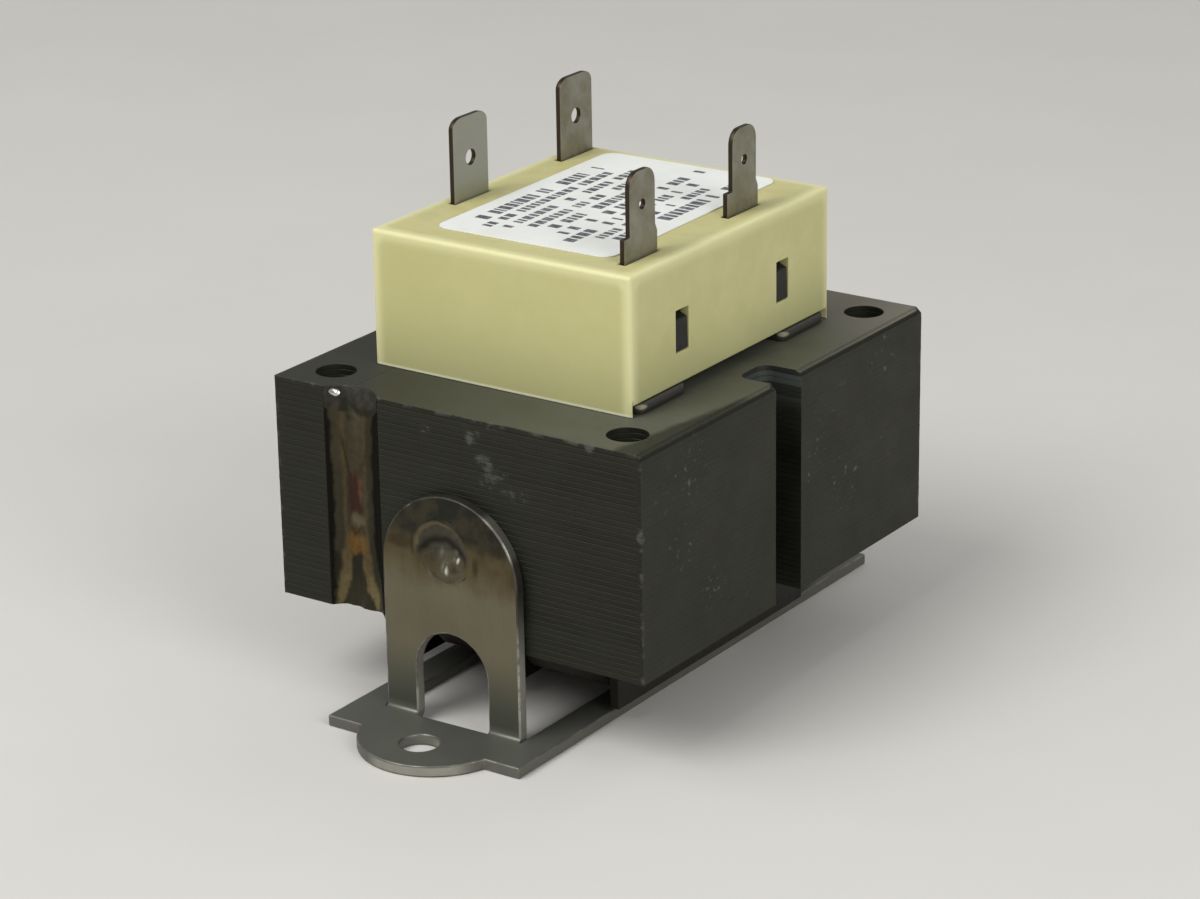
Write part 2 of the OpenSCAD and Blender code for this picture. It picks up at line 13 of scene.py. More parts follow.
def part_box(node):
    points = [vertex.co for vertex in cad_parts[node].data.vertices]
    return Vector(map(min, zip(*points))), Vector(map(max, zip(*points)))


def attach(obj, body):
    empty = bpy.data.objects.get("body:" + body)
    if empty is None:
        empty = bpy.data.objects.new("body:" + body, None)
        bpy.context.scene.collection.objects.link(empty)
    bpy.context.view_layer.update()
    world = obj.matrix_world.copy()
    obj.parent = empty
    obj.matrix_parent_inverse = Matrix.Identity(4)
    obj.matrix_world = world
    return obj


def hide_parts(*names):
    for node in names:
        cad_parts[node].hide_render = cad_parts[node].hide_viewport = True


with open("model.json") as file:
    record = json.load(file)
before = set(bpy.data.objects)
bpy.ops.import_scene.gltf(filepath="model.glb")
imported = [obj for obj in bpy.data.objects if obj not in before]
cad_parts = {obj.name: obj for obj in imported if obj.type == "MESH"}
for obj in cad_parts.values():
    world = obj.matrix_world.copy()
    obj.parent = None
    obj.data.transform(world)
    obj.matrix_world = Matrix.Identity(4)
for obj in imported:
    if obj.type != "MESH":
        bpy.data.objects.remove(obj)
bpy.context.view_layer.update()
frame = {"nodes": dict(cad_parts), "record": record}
MM = 0.001


# Lamination stacks. Forty blanked sheets of silicon steel make the E stack and forty the I stack, dipped
# in a dark varnish. No two sheets line up exactly, so the edge of each shows as its own fine line.
SHEETS = 40
SHEET_GAP = 0.02 * MM
SHEET_EDGE = 0.05 * MM
SHEET_SHRINK = 0.9988
SHEET_ASKEW = 0.012 * MM
SHEET_WAVE = 0.012 * MM
TOP_SHEET_WAVE = 0.05 * MM
SIDE_SEAM = 0.005 * MM
E_SLACK = 0.0002
I_SLACK = 0.0008
OUTLINE_STEP = 0.7 * MM
HOLE_POINTS = 40
GROOVE_X = -13.6 * MM
GROOVE_DEPTH = 1.9 * MM
GROOVE_HALF = 3.7 * MM
GROOVE_R = (GROOVE_HALF ** 2 + GROOVE_DEPTH ** 2) / (2 * GROOVE_DEPTH)
NOTCH_HALF = 2.6 * MM
NOTCH_DEPTH = 5 * MM
NOTCH_R = 1.5 * MM
TONGUE_HALF = 9.525 * MM
WINDOW_END = 19.05 * MM
ROLLED_R = 0.9 * MM
CHIPPED_W = 0.5 * MM
DUST_WANDER = 1.2 * MM
THICK_VARNISH = (0.0065, 0.0067, 0.0045)
THIN_VARNISH = (0.0105, 0.0108, 0.0078)
PALE_SHEET = (0.018, 0.0185, 0.014)
OUTER_SIDE = (0.0165, 0.0168, 0.0125)
BARE_EDGE = (0.021, 0.0215, 0.0175)
DUST_AND_SHEEN = (0.092, 0.094, 0.070)
REAR_DUST_AND_SHEEN = (0.165, 0.152, 0.120)
LIT_SHEET = (0.052, 0.060, 0.057)
CHIPPED = (0.085, 0.087, 0.070)
SCUFFED = (0.085, 0.089, 0.076)
SPECKED = (0.105, 0.106, 0.092)
# Scuffs: place and reach in millimetres, and how much of the spot is rubbed
SCUFFS = [
    ((4.0, -28.57, 31.2), 1.7, 0.42), ((4.4, -28.57, 29.6), 1.4, 0.44), ((6.6, -28.57, 30.0), 2.0, 0.50),
    ((8.6, -28.57, 28.6), 1.8, 0.50), ((-3.6, -28.57, 33.9), 0.9, 0.44), ((2.8, -28.57, 33.9), 1.5, 0.46),
    ((1.8, -28.57, 35.9), 1.1, 0.46), ((5.0, -28.57, 35.6), 0.9, 0.48), ((17.5, -28.57, 35.9), 0.9, 0.44),
    ((23.81, -28.57, 27.1), 0.9, 0.42), ((23.81, -28.0, 20.3), 0.7, 0.50),
    ((23.81, -18.6, 32.0), 5.5, 0.60), ((23.81, -21.5, 23.6), 4.2, 0.61), ((23.81, -24.5, 30.0), 5.0, 0.62),
    ((23.81, -9.0, 17.0), 7.0, 0.63), ((23.81, 21.3, 21.0), 4.5, 0.60), ((23.81, 9.0, 31.0), 5.0, 0.61),
    ((23.81, 20.0, 31.0), 7.0, 0.63),
]
# Patches of small pale specks on the outer side of the yoke: place and reach in millimetres
SPECKS = [
    ((23.81, -19.5, 32.0), 5.5), ((23.81, -21.0, 23.5), 4.0), ((23.81, -15.0, 17.0), 3.5),
    ((23.81, 5.5, 25.0), 4.0), ((23.81, 20.0, 33.0), 4.5), ((23.81, 12.0, 21.0), 6.0),
]

e_low, e_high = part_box("e_lamination_stack")
i_low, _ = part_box("i_lamination_stack")
CORE_BOTTOM, CORE_TOP = e_low.z, e_high.z
CORE_END = e_high.y
CORE_SIDE = e_high.x
JOINT_X = e_low.x
YOKE_X = -JOINT_X


class Amount:
    """A number that varies over a surface. It comes from a node of a finish; sums on it add more nodes."""

    def __init__(self, finish, socket):
        self.finish = finish
        self.socket = socket

    def reckon(self, operation, *values):
        """Result of one sum on amounts or plain numbers."""
        made = self.finish.node("Math", enumerate(values), operation=operation)
        return Amount(self.finish, made.outputs["Value"])

    def __mul__(self, other):
        return self.reckon("MULTIPLY", self, other)

    def __add__(self, other):
        return self.reckon("ADD", self, other)

    def __sub__(self, other):
        return self.reckon("SUBTRACT", self, other)

    def __rsub__(self, other):
        return self.reckon("SUBTRACT", other, self)

    def __abs__(self):
        return self.reckon("ABSOLUTE", self)

    def larger(self, other):
        """The larger of two amounts."""
        return self.reckon("MAXIMUM", self, other)

    def spread(self, low, high, to_low=0.0, to_high=1.0):
        """Maps the amount smoothly from the range low to high on to another range."""
        sockets = {"Value": self, "From Min": low, "From Max": high, "To Min": to_low, "To Max": to_high}
        made = self.finish.node("MapRange", sockets, interpolation_type="SMOOTHSTEP")
        return Amount(self.finish, made.outputs["Result"])


class Finish:
    """A material built up from nodes, with a Principled BSDF as shader; place is a point on the object."""

    def __init__(self, name, **sockets):
        self.material = bpy.data.materials.new(name)
        self.material.use_nodes = True
        self.tree = self.material.node_tree
        self.shader = self.tree.nodes["Principled BSDF"]
        self.place = self.node("TexCoord").outputs["Object"]
        self.shade(**sockets)

    def plug(self, socket, value):
        """Links an amount or another socket to the socket, or sets a plain value there."""
        if isinstance(value, Amount):
            value = value.socket
        if isinstance(value, bpy.types.NodeSocket):
            self.tree.links.new(value, socket)
        elif socket.type == "RGBA":
            socket.default_value = (*value, 1)
        else:
            socket.default_value = value

    def shade(self, **sockets):
        """Sets or links sockets of the shader; an underscore in a name stands for a space."""
        for key, value in sockets.items():
            self.plug(self.shader.inputs[key.replace("_", " ")], value)

    def node(self, kind, sockets=(), **settings):
        """Adds a node, with its settings and the values or links of its sockets."""
        made = self.tree.nodes.new("ShaderNode" + kind)
        for key, value in settings.items():
            setattr(made, key, value)
        for key, value in dict(sockets).items():
            self.plug(made.inputs[key], value)
        return made

    def noise(self, scale, detail=4, roughness=0.6, stretch=(1, 1, 1), distortion=0):
        """Cloudy pattern from 0 to 1, with about scale blotches to the metre."""
        place = self.node("Mapping", {"Vector": self.place, "Scale": stretch}).outputs["Vector"]
        sockets = {"Vector": place, "Scale": scale, "Detail": detail, "Roughness": roughness,
                   "Distortion": distortion}
        return Amount(self, self.node("TexNoise", sockets).outputs["Fac"])

    def mix(self, share, first, second):
        """Blend of two colours."""
        made = self.node("Mix", {0: share, 6: first, 7: second}, data_type="RGBA")
        return made.outputs[2]

    def paint(self, share, first, second):
        """Gives the finish a blend of two colours."""
        self.colour = self.mix(share, first, second)
        self.shade(Base_Color=self.colour)

    def lay(self, share, colour):
        """Lays another colour over the finish's own, as thick as share says."""
        self.paint(share, self.colour, colour)

    def near(self, point, reach, squeeze=(1, 1, 1)):
        """1 at a point of the object, falling smoothly to 0 at reach, both in millimetres. Squeeze scales
        the distance along each axis."""
        away = self.node("VectorMath", {0: self.place, 1: Vector(point) * MM}, operation="SUBTRACT")
        away = self.node("VectorMath", {0: away.outputs["Vector"], 1: squeeze}, operation="MULTIPLY")
        length = self.node("VectorMath", {0: away.outputs["Vector"]}, operation="LENGTH")
        return Amount(self, length.outputs["Value"]).spread(0, reach * MM, 1, 0)

    def axis(self, name):
        """One coordinate of the point on the object."""
        return Amount(self, self.node("SeparateXYZ", {"Vector": self.place}).outputs[name])

    def facing(self, name):
        """One part of the surface's direction."""
        normal = self.node("NewGeometry").outputs["Normal"]
        return Amount(self, self.node("SeparateXYZ", {"Vector": normal}).outputs[name])

    def attribute(self, name, output="Fac"):
        """Socket of a number or colour kept on the mesh's points."""
        return self.node("Attribute", attribute_name=name).outputs[output]

    def roughen(self, pattern, low, high):
        """Gives the finish a roughness between low and high that follows a pattern."""
        self.shade(Roughness=pattern.spread(0.3, 0.7, low, high))

    def bump(self, height, strength, distance):
        """Bends the shading by a height pattern."""
        made = self.node("Bump", {"Height": height, "Strength": strength, "Distance": distance})
        self.shade(Normal=made.outputs["Normal"])


def circle_points(x, y, radius, count):
    """Points round a circle."""
    turns = [2 * math.pi * k / count for k in range(count)]
    return [(x + radius * math.cos(a), y + radius * math.sin(a)) for a in turns]


def groove_points(x_from, x_to, side, count=14):
    """Points along the weld groove in the core's end face, on the side given by its sign."""
    points = []
    for k in range(count + 1):
        x = x_from + (x_to - x_from) * k / count
        rise = math.sqrt(GROOVE_R ** 2 - (x - GROOVE_X) ** 2)
        points.append((x, side * (CORE_END + GROOVE_R - GROOVE_DEPTH - rise)))
    return points


def notch_points(count=8):
    """Points along the notch in the back of the yoke, from the front to the rear."""
    floor = CORE_SIDE - NOTCH_DEPTH + NOTCH_R
    corner = NOTCH_HALF - NOTCH_R
    turns = [math.pi / 2 * k / count for k in range(count + 1)]
    front = [(floor - NOTCH_R * math.sin(a), -corner - NOTCH_R * math.cos(a)) for a in turns]
    rear = [(floor - NOTCH_R * math.cos(a), corner + NOTCH_R * math.sin(a)) for a in turns]
    return [(CORE_SIDE, -NOTCH_HALF)] + front + rear + [(CORE_SIDE, NOTCH_HALF)]


def plate_mesh(outlines, thickness, edge):
    """Flat plate about z = 0 with eased rims. The first outline is its edge, the others are holes."""
    curve = bpy.data.curves.new("plate", "CURVE")
    curve.dimensions = "2D"
    curve.fill_mode = "BOTH"
    curve.extrude = thickness / 2 - edge
    curve.bevel_depth = edge
    curve.bevel_resolution = 0
    curve.offset = -edge
    for points in outlines:
        spline = curve.splines.new("POLY")
        spline.points.add(len(points) - 1)
        spline.points.foreach_set("co", [c for x, y in points for c in (x, y, 0, 1)])
        spline.use_cyclic_u = True
    holder = bpy.data.objects.new("plate", curve)
    mesh = bpy.data.meshes.new_from_object(holder)
    bpy.data.objects.remove(holder)
    bpy.data.curves.remove(curve)
    welded = bmesh.new()
    welded.from_mesh(mesh)
    bmesh.ops.remove_doubles(welded, verts=welded.verts, dist=1e-7)
    bmesh.ops.recalc_face_normals(welded, faces=welded.faces)
    welded.to_mesh(mesh)
    welded.free()
    return mesh


def add_piece(name, mesh, finishes, slot, *replaced):
    """Puts a mesh in the scene as a piece that rides on the body and stands for the replaced nodes."""
    for finish in finishes:
        mesh.materials.append(finish.material)
    piece = bpy.data.objects.new(name, mesh)
    bpy.context.scene.collection.objects.link(piece)
    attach(piece, "root")
    if replaced:
        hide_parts(*replaced)
    return piece


def straight_points(*corners):
    """Points along the straight edges through these corners, without the last corner."""
    points = []
    for (x, y), (to_x, to_y) in zip(corners, corners[1:]):
        count = max(round(math.dist((x, y), (to_x, to_y)) / OUTLINE_STEP), 1)
        points += [(x + (to_x - x) * k / count, y + (to_y - y) * k / count) for k in range(count)]
    return points


def roll_rear_edge(points):
    """Draws the points past the rolled upper edge at the back of the yoke in to its round."""
    centre_x, centre_z = CORE_SIDE - ROLLED_R, CORE_TOP - ROLLED_R
    over_x, over_z = points[:, 0] - centre_x, points[:, 2] - centre_z
    reach = np.sqrt(ROLLED_R ** 2 - np.clip(over_z, 0, ROLLED_R * 0.98) ** 2)
    past = (over_x > reach) & (over_z > 0)
    points[past, 0] = centre_x + reach[past]


def stack_mesh(name, outlines, slack, seed):
    """Stack of sheets with these outlines, each a little askew; on the long outer side they lie flush."""
    draw = random.Random(seed)
    pitch = (CORE_TOP - CORE_BOTTOM) / SHEETS
    sheet = plate_mesh(outlines, pitch - SHEET_GAP, SHEET_EDGE)
    flat = np.array([v.co for v in sheet.vertices])
    faces = [list(p.vertices) for p in sheet.polygons]
    bpy.data.meshes.remove(sheet)
    flush = np.abs(flat[:, 0]) > CORE_SIDE - SHEET_EDGE / 2
    flat[flush, 2] = np.sign(flat[flush, 2]) * (pitch / 2 - SIDE_SEAM)
    outer = np.abs(flat[:, 1]) > CORE_END - 2 * SHEET_EDGE
    points, polygons, tone = [], [], []
    for k in range(SHEETS):
        moved = flat.copy()
        moved[:, 0] = JOINT_X + (flat[:, 0] - JOINT_X) * (1 - slack * draw.random())
        moved[:, 1] = flat[:, 1] * SHEET_SHRINK + draw.uniform(-SHEET_ASKEW, SHEET_ASKEW)
        wave = TOP_SHEET_WAVE if k == SHEETS - 1 else SHEET_WAVE
        for i in np.flatnonzero(outer):
            x, y = flat[i, :2] / MM
            moved[i, 1] -= math.copysign(wave, y) * (0.5 + noise.noise((x * 0.6, y, k * 5.3)))
        moved[:, 2] += CORE_BOTTOM + (k + 0.5) * pitch
        points.append(moved)
        polygons += [[i + k * len(flat) for i in f] for f in faces]
        tone += [draw.random()] * len(flat)
    points = np.vstack(points)
    roll_rear_edge(points)
    mesh = bpy.data.meshes.new(name)
    mesh.from_pydata(points.tolist(), [], polygons)
    mesh.attributes.new("sheet_tone", "FLOAT", "POINT").data.foreach_set("value", tone)
    rolled = Vector((1, 0, 1)).normalized()
    for face in mesh.polygons:
        face.use_smooth = face.center.x > CORE_SIDE - ROLLED_R and face.normal.dot(rolled) > 0.8
    return mesh


varnish = Finish("core_varnish", Specular_IOR_Level=0.25, Specular_Tint=(1, 0.97, 0.78))
at_x, at_y, at_z = (varnish.axis(name) for name in "XYZ")
facing_x, facing_y, facing_z = (varnish.facing(name) for name in "XYZ")
sheet_tone = Amount(varnish, varnish.attribute("sheet_tone"))
cloud = varnish.noise(160, detail=5)
varnish.paint(cloud.spread(0.3, 0.7), THICK_VARNISH, THIN_VARNISH)
varnish.lay(sheet_tone * abs(facing_y).spread(0.5, 0.9) * 0.25, PALE_SHEET)
varnish.lay(abs(facing_x).spread(0.25, 0.7, 0, 0.8), OUTER_SIDE)
# Dust lies on the top, with a painted sheen over it, thickest towards the yoke and the rear, but the
# rolled edge is rubbed clean
upward = at_z.spread(CORE_TOP - 0.5 * MM, CORE_TOP - 0.25 * MM) * facing_z.spread(0.25, 0.95)
from_edge = (CORE_SIDE - 0.4 * MM) - at_x + at_y * 0.14 + varnish.noise(500) * DUST_WANDER
kept = from_edge.spread(-0.9 * MM, 0.2 * MM)
varnish.lay(upward - upward * kept, BARE_EDGE)
dust_and_sheen_spread = (at_x + at_y * 0.35).spread(-30 * MM, 14 * MM, 0.2, 1)
varnish.lay(upward * dust_and_sheen_spread * cloud.spread(0.2, 0.8, 0.7, 1) * kept, DUST_AND_SHEEN)
varnish.lay(upward * at_y.spread(10 * MM, 26 * MM, 0, 0.8), REAR_DUST_AND_SHEEN)
# The edges of the upper sheets catch the light in the notch
lit = abs(at_y).spread(NOTCH_HALF + 0.1 * MM, NOTCH_HALF) * facing_z.spread(0.9, 0.6)
lit *= at_x.spread(YOKE_X, YOKE_X + 1 * MM)
lit *= at_z.spread(CORE_TOP - 6 * MM, CORE_TOP - 0.5 * MM)
varnish.lay(lit * sheet_tone.spread(0.2, 0.8, 0.25, 0.9), LIT_SHEET)
# The varnish is chipped here and there along the stack's outer corners
near_top = at_z.spread(CORE_TOP - 0.55 * MM, CORE_TOP - 0.1 * MM)
near_end = abs(at_y).spread(CORE_END - CHIPPED_W, CORE_END)
near_side = abs(at_x).spread(CORE_SIDE - CHIPPED_W, CORE_SIDE)
rim = (near_top * near_end).larger(near_top * near_side).larger(near_end * near_side)
varnish.lay(rim * varnish.noise(420, detail=6).spread(0.5, 0.6) * 0.6, CHIPPED)
flecks = varnish.noise(650, detail=4, roughness=0.65, stretch=(1, 1, 1.6), distortion=0.3)
for spot, reach, share in SCUFFS:
    patch = varnish.near(spot, reach).spread(0, 0.5)
    varnish.lay(patch * flecks.spread(share - 0.02, share + 0.2, 0, 0.6), SCUFFED)
dots = varnish.noise(1300, detail=3, roughness=0.5).spread(0.60, 0.70, 0, 0.65)
for spot, reach in SPECKS:
    varnish.lay(varnish.near(spot, reach).spread(0, 0.6) * dots, SPECKED)
varnish.shade(Roughness=cloud.spread(0.2, 0.8, 0.42, 0.58))
varnish.bump(varnish.noise(2600, detail=3), 0.2, 0.04 * MM)

core_holes = next(m for m in frame["record"]["mounts"] if m["name"] == "core_holes")["dims"]
hole_x = core_holes["spacing_x_mm"] / 2 * MM
hole_y = core_holes["spacing_y_mm"] / 2 * MM
hole_r = core_holes["hole_r_mm"] * MM
groove_left, groove_right = GROOVE_X - GROOVE_HALF, GROOVE_X + GROOVE_HALF
e_outline = groove_points(JOINT_X, groove_right, -1)
e_outline += straight_points(e_outline.pop(), (CORE_SIDE, -CORE_END), (CORE_SIDE, -NOTCH_HALF))
e_outline += notch_points()[:-1]
e_outline += straight_points((CORE_SIDE, NOTCH_HALF), (CORE_SIDE, CORE_END), (groove_right, CORE_END))
e_outline += groove_points(groove_right, JOINT_X, 1)
window = [(JOINT_X, WINDOW_END), (YOKE_X, WINDOW_END), (YOKE_X, TONGUE_HALF), (JOINT_X, TONGUE_HALF)]
e_outline += window + [(x, -y) for x, y in window[::-1]]
i_outline = groove_points(JOINT_X, groove_left, 1)
i_outline += straight_points(i_outline.pop(), (i_low.x, CORE_END), (i_low.x, -CORE_END),
                             (groove_left, -CORE_END))
i_outline += groove_points(groove_left, JOINT_X, -1)
stacks = (("e", e_outline, 1, E_SLACK, 11), ("i", i_outline, -1, I_SLACK, 12))
for stack, outline, side, slack, seed in stacks:
    holes = [circle_points(side * hole_x, end * hole_y, hole_r, HOLE_POINTS) for end in (-1, 1)]
    sheets = stack_mesh(f"{stack}_sheets", [outline] + holes, slack, seed)
    add_piece(f"{stack}_lamination_sheets", sheets, [varnish], "core_steel", f"{stack}_lamination_stack")


# Bobbin. Moulded in one piece from dark glass-filled nylon, with a tube round the centre leg, flanges,
# seat lugs that rest on the core, catches for the cap and pockets for the tabs.
BOBBIN_EASE = 0.15 * MM
NYLON_DARK = (0.024, 0.0225, 0.018)
NYLON_PALE = (0.040, 0.038, 0.030)
NYLON_SHADED_IN_CAP = (0.010, 0.0095, 0.008)
NYLON_SHADED_BELOW = (0.009, 0.0078, 0.0052)
LUG_END_REFLECTION = (0.34, 0.30, 0.21)
# Painted reflections: pale spots at the near ends of the seat lugs, in millimetres
REFLECTION_SPOTS = [(16.9, -18.2, 36.9), (16.9, 9.9, 36.9), (-16.9, -18.2, 36.9), (-16.9, 9.9, 36.9)]


def softened(node, width, segments=2, rim=-1, cuts=()):
    """Copy of a CAD node's mesh with its sharp edges eased. Rim is the material number of the eased strips,
    and level cuts at some heights keep the shading of tall round corners even."""
    mesh = frame["nodes"][node].data.copy()
    mesh.materials.clear()
    soft = bmesh.new()
    soft.from_mesh(mesh)
    bmesh.ops.remove_doubles(soft, verts=soft.verts, dist=1e-6)
    bmesh.ops.dissolve_limit(soft, angle_limit=math.radians(0.6), verts=soft.verts, edges=soft.edges)
    for height in cuts:
        whole = soft.verts[:] + soft.edges[:] + soft.faces[:]
        bmesh.ops.bisect_plane(soft, geom=whole, plane_co=(0, 0, height), plane_no=(0, 0, 1))
    sharp = [e for e in soft.edges if len(e.link_faces) == 2 and e.calc_face_angle() > math.radians(35)]
    bmesh.ops.bevel(soft, geom=sharp, offset=width, segments=segments, profile=0.5, affect="EDGES",
                    material=rim)
    soft.to_mesh(mesh)
    soft.free()
    return mesh


def add_eased(*wanted):
    """Adds a piece as add_piece does, with its eased edges shaded round and its large faces flat."""
    piece = add_piece(*wanted)
    piece.data.shade_smooth()
    piece.modifiers.new("flat_faces", "WEIGHTED_NORMAL")


moulded = Finish("bobbin_nylon", Specular_IOR_Level=0.3)
grain = moulded.noise(700, detail=5)
at_z = moulded.axis("Z")
moulded.paint(grain, NYLON_DARK, NYLON_PALE)
# Painted shade: the nylon is darker inside the cap and below the core
moulded.lay(at_z.spread(38 * MM, 40 * MM), NYLON_SHADED_IN_CAP)
moulded.lay(at_z.spread(CORE_BOTTOM + 0.2 * MM, CORE_BOTTOM - 0.3 * MM), NYLON_SHADED_BELOW)
# Painted reflection at the near end of each seat lug
for reflection_spot in REFLECTION_SPOTS:
    moulded.lay(moulded.near(reflection_spot, 1.0, (1, 0.7, 2.2)).spread(0.1, 0.7, 0, 0.85), LUG_END_REFLECTION)
moulded.roughen(grain, 0.34, 0.5)
moulded.bump(moulded.noise(3000), 0.2, 0.03 * MM)
add_eased("wound_bobbin", softened("bobbin", BOBBIN_EASE), [moulded], "bobbin_nylon", "bobbin")


# Windings. Two coils of enamelled copper wire lie side by side on the bobbin, fine wire for the primary
# and thick wire for the secondary, and the ends of each run up inside the cap to its tabs.
COIL_IN_X = 0.75 * MM
COIL_OUT_X = 12.6875 * MM
COIL_HALF_Y = 17.475 * MM
COIL_HALF_Z = 20.65 * MM
COIL_R = 4 * MM
TUBE_HALF_Y = 10.875 * MM
TUBE_HALF_Z = 14.05 * MM
TUBE_R = 0.1 * MM
LEAD_BELOW_CAP = 2.5 * MM
LEAD_BEND = 0.6
WIRES = {"primary": (-1, 0.5 * MM), "secondary": (1, 1.0 * MM)}
WIRE_SHARES = (0.08, 0.3, 0.5, 0.7, 0.92)
CORE_MIDDLE = (CORE_BOTTOM + CORE_TOP) / 2


def loft_mesh(name, sections, ring=False):
    """Skin over closed sections with equal numbers of points. Ring joins the last section to the first;
    otherwise both are capped."""
    count = len(sections[0])
    faces = []
    for k in range(len(sections) if ring else len(sections) - 1):
        this, following = k * count, (k + 1) % len(sections) * count
        for i in range(count):
            j = (i + 1) % count
            faces.append((this + i, this + j, following + j, following + i))
    if not ring:
        last = (len(sections) - 1) * count
        faces += [tuple(range(count)), tuple(range(last, last + count))]
    mesh = bpy.data.meshes.new(name)
    mesh.from_pydata([tuple(p) for section in sections for p in section], [], faces)
    skin = bmesh.new()
    skin.from_mesh(mesh)
    bmesh.ops.recalc_face_normals(skin, faces=skin.faces)
    skin.to_mesh(mesh)
    skin.free()
    mesh.shade_smooth()
    return mesh


def coil_loop(x, half_y, half_z, radius, grow=0.0, per_corner=9):
    """Closed rounded loop round the centre leg at x; grow moves its points out or in."""
    points = []
    for quarter in range(4):
        middle = math.pi / 2 * quarter + math.pi / 4
        side_y = math.copysign(half_y - radius, math.cos(middle))
        side_z = math.copysign(half_z - radius, math.sin(middle))
        for k in range(per_corner):
            angle = math.pi / 2 * (quarter + k / (per_corner - 1))
            points.append((x, side_y + (radius + grow) * math.cos(angle),
                           CORE_MIDDLE + side_z + (radius + grow) * math.sin(angle)))
    return points


def tube_sections(route, radius, count=10):
    """Circles round a route of straight runs, to loft into a wire."""
    sections = []
    for k, point in enumerate(route):
        before, after = route[max(k - 1, 0)], route[min(k + 1, len(route) - 1)]
        along = (Vector(after) - Vector(before)).normalized()
        turn = along.to_track_quat("Z", "Y")
        circle = circle_points(0, 0, radius, count)
        sections.append([Vector(point) + turn @ Vector((x, y, 0)) for x, y in circle])
    return sections


def joined(name, meshes):
    """One mesh of several separate ones."""
    whole = bmesh.new()
    for mesh in meshes:
        whole.from_mesh(mesh)
        bpy.data.meshes.remove(mesh)
    mesh = bpy.data.meshes.new(name)
    whole.to_mesh(mesh)
    whole.free()
    mesh.shade_smooth()
    return mesh


copper = Finish("enamelled_copper", Metallic=1.0, Coat_Weight=0.6, Coat_Roughness=0.2)
streak = copper.noise(500, detail=5)
copper.paint(streak, (0.30, 0.10, 0.035), (0.50, 0.20, 0.08))
copper.roughen(streak, 0.28, 0.45)
cap_low, cap_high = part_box("terminal_cap")
for coil, (side, wire_d) in WIRES.items():
    wires = round((COIL_OUT_X - COIL_IN_X) / wire_d)
    pitch = (COIL_OUT_X - COIL_IN_X) / wires
    loops = [coil_loop(side * COIL_IN_X, TUBE_HALF_Y, TUBE_HALF_Z, TUBE_R)]
    for wire in range(wires):
        for share in WIRE_SHARES:
            sink = pitch / 2 * (1 - math.sqrt(1 - (2 * share - 1) ** 2))
            x = COIL_IN_X + (wire + share) * pitch
            loops.append(coil_loop(side * x, COIL_HALF_Y, COIL_HALF_Z, COIL_R, grow=-sink))
    loops.append(coil_loop(side * COIL_OUT_X, TUBE_HALF_Y, TUBE_HALF_Z, TUBE_R))
    parts = [loft_mesh("turns", loops, ring=True)]
    bend = wire_d * LEAD_BEND
    riser_x = side * (COIL_OUT_X - bend)
    lead_z = cap_high.z - LEAD_BELOW_CAP
    for end in ("front", "rear"):
        tab_low, tab_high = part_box(f"{coil}_tab_{end}")
        tab_y = (tab_low.y + tab_high.y) / 2
        tab_x = tab_high.x if side < 0 else tab_low.x
        route = [(riser_x, tab_y, CORE_MIDDLE + COIL_HALF_Z - COIL_R / 2), (riser_x, tab_y, lead_z - bend),
                 (riser_x + side * bend * 0.3, tab_y, lead_z - bend * 0.3),
                 (riser_x + side * bend, tab_y, lead_z), (tab_x, tab_y, lead_z)]
        parts.append(loft_mesh("lead", tube_sections(route, wire_d / 2)))
    turns = joined(f"{coil}_turns", parts)
    add_piece(f"{coil}_turns", turns, [copper], "winding_copper", f"{coil}_winding")


# Tape wraps. Varnished tape, painted very dark so that it also stands for the shade under the core, is
# wound several times round each coil and its end is pressed down on the coil's underside, where the last
# layer shows as a small step.
TAPE_IN_X = 0.75 * MM
TAPE_OUT_X = 11.3375 * MM
TAPE_T = 0.4 * MM
TAPE_CLEAR = 0.05 * MM
TAPE_LAYER = 0.1 * MM
TAPE_EDGE = 0.06 * MM
TAPE_DRIFT = 0.04
TAPE_START = 0.68

tape = Finish("varnished_tape", Coat_Weight=0.3, Coat_Roughness=0.3)
smear = tape.noise(140, detail=4)
# The tape's colour is painted very dark, partly as the shade under the core
tape.paint(smear, (0.012, 0.007, 0.004), (0.030, 0.018, 0.010))
tape.roughen(smear, 0.4, 0.6)
tape.bump(tape.noise(900, detail=4, stretch=(6, 1, 1)), 0.3, 0.03 * MM)
for coil, (side, _) in WIRES.items():
    draw = random.Random(coil)
    around = len(coil_loop(0, COIL_HALF_Y, COIL_HALF_Z, COIL_R))
    start = round(around * TAPE_START)
    sections = []
    for x, grow in ((TAPE_IN_X, TAPE_CLEAR), (TAPE_IN_X, TAPE_T * 0.8), (TAPE_IN_X + TAPE_EDGE, TAPE_T),
                    (TAPE_OUT_X - TAPE_EDGE, TAPE_T), (TAPE_OUT_X, TAPE_T * 0.8), (TAPE_OUT_X, TAPE_CLEAR)):
        loop = []
        for i in range(around + 1):
            wound = (i - 1) / around
            drift = draw.uniform(-TAPE_DRIFT, TAPE_DRIFT) * MM if grow < TAPE_T else 0
            lift = grow
            if grow > TAPE_CLEAR:
                lift += TAPE_CLEAR - TAPE_LAYER * (1 - wound)
            whole = coil_loop(side * (x + drift), COIL_HALF_Y, COIL_HALF_Z, COIL_R, lift)
            loop.append(whole[(start + i) % around])
        sections.append(loop)
    wrap = loft_mesh(f"{coil}_tape", sections, ring=True)
    add_eased(f"{coil}_tape", wrap, [tape], "wrap_tape", f"{coil}_wrap")


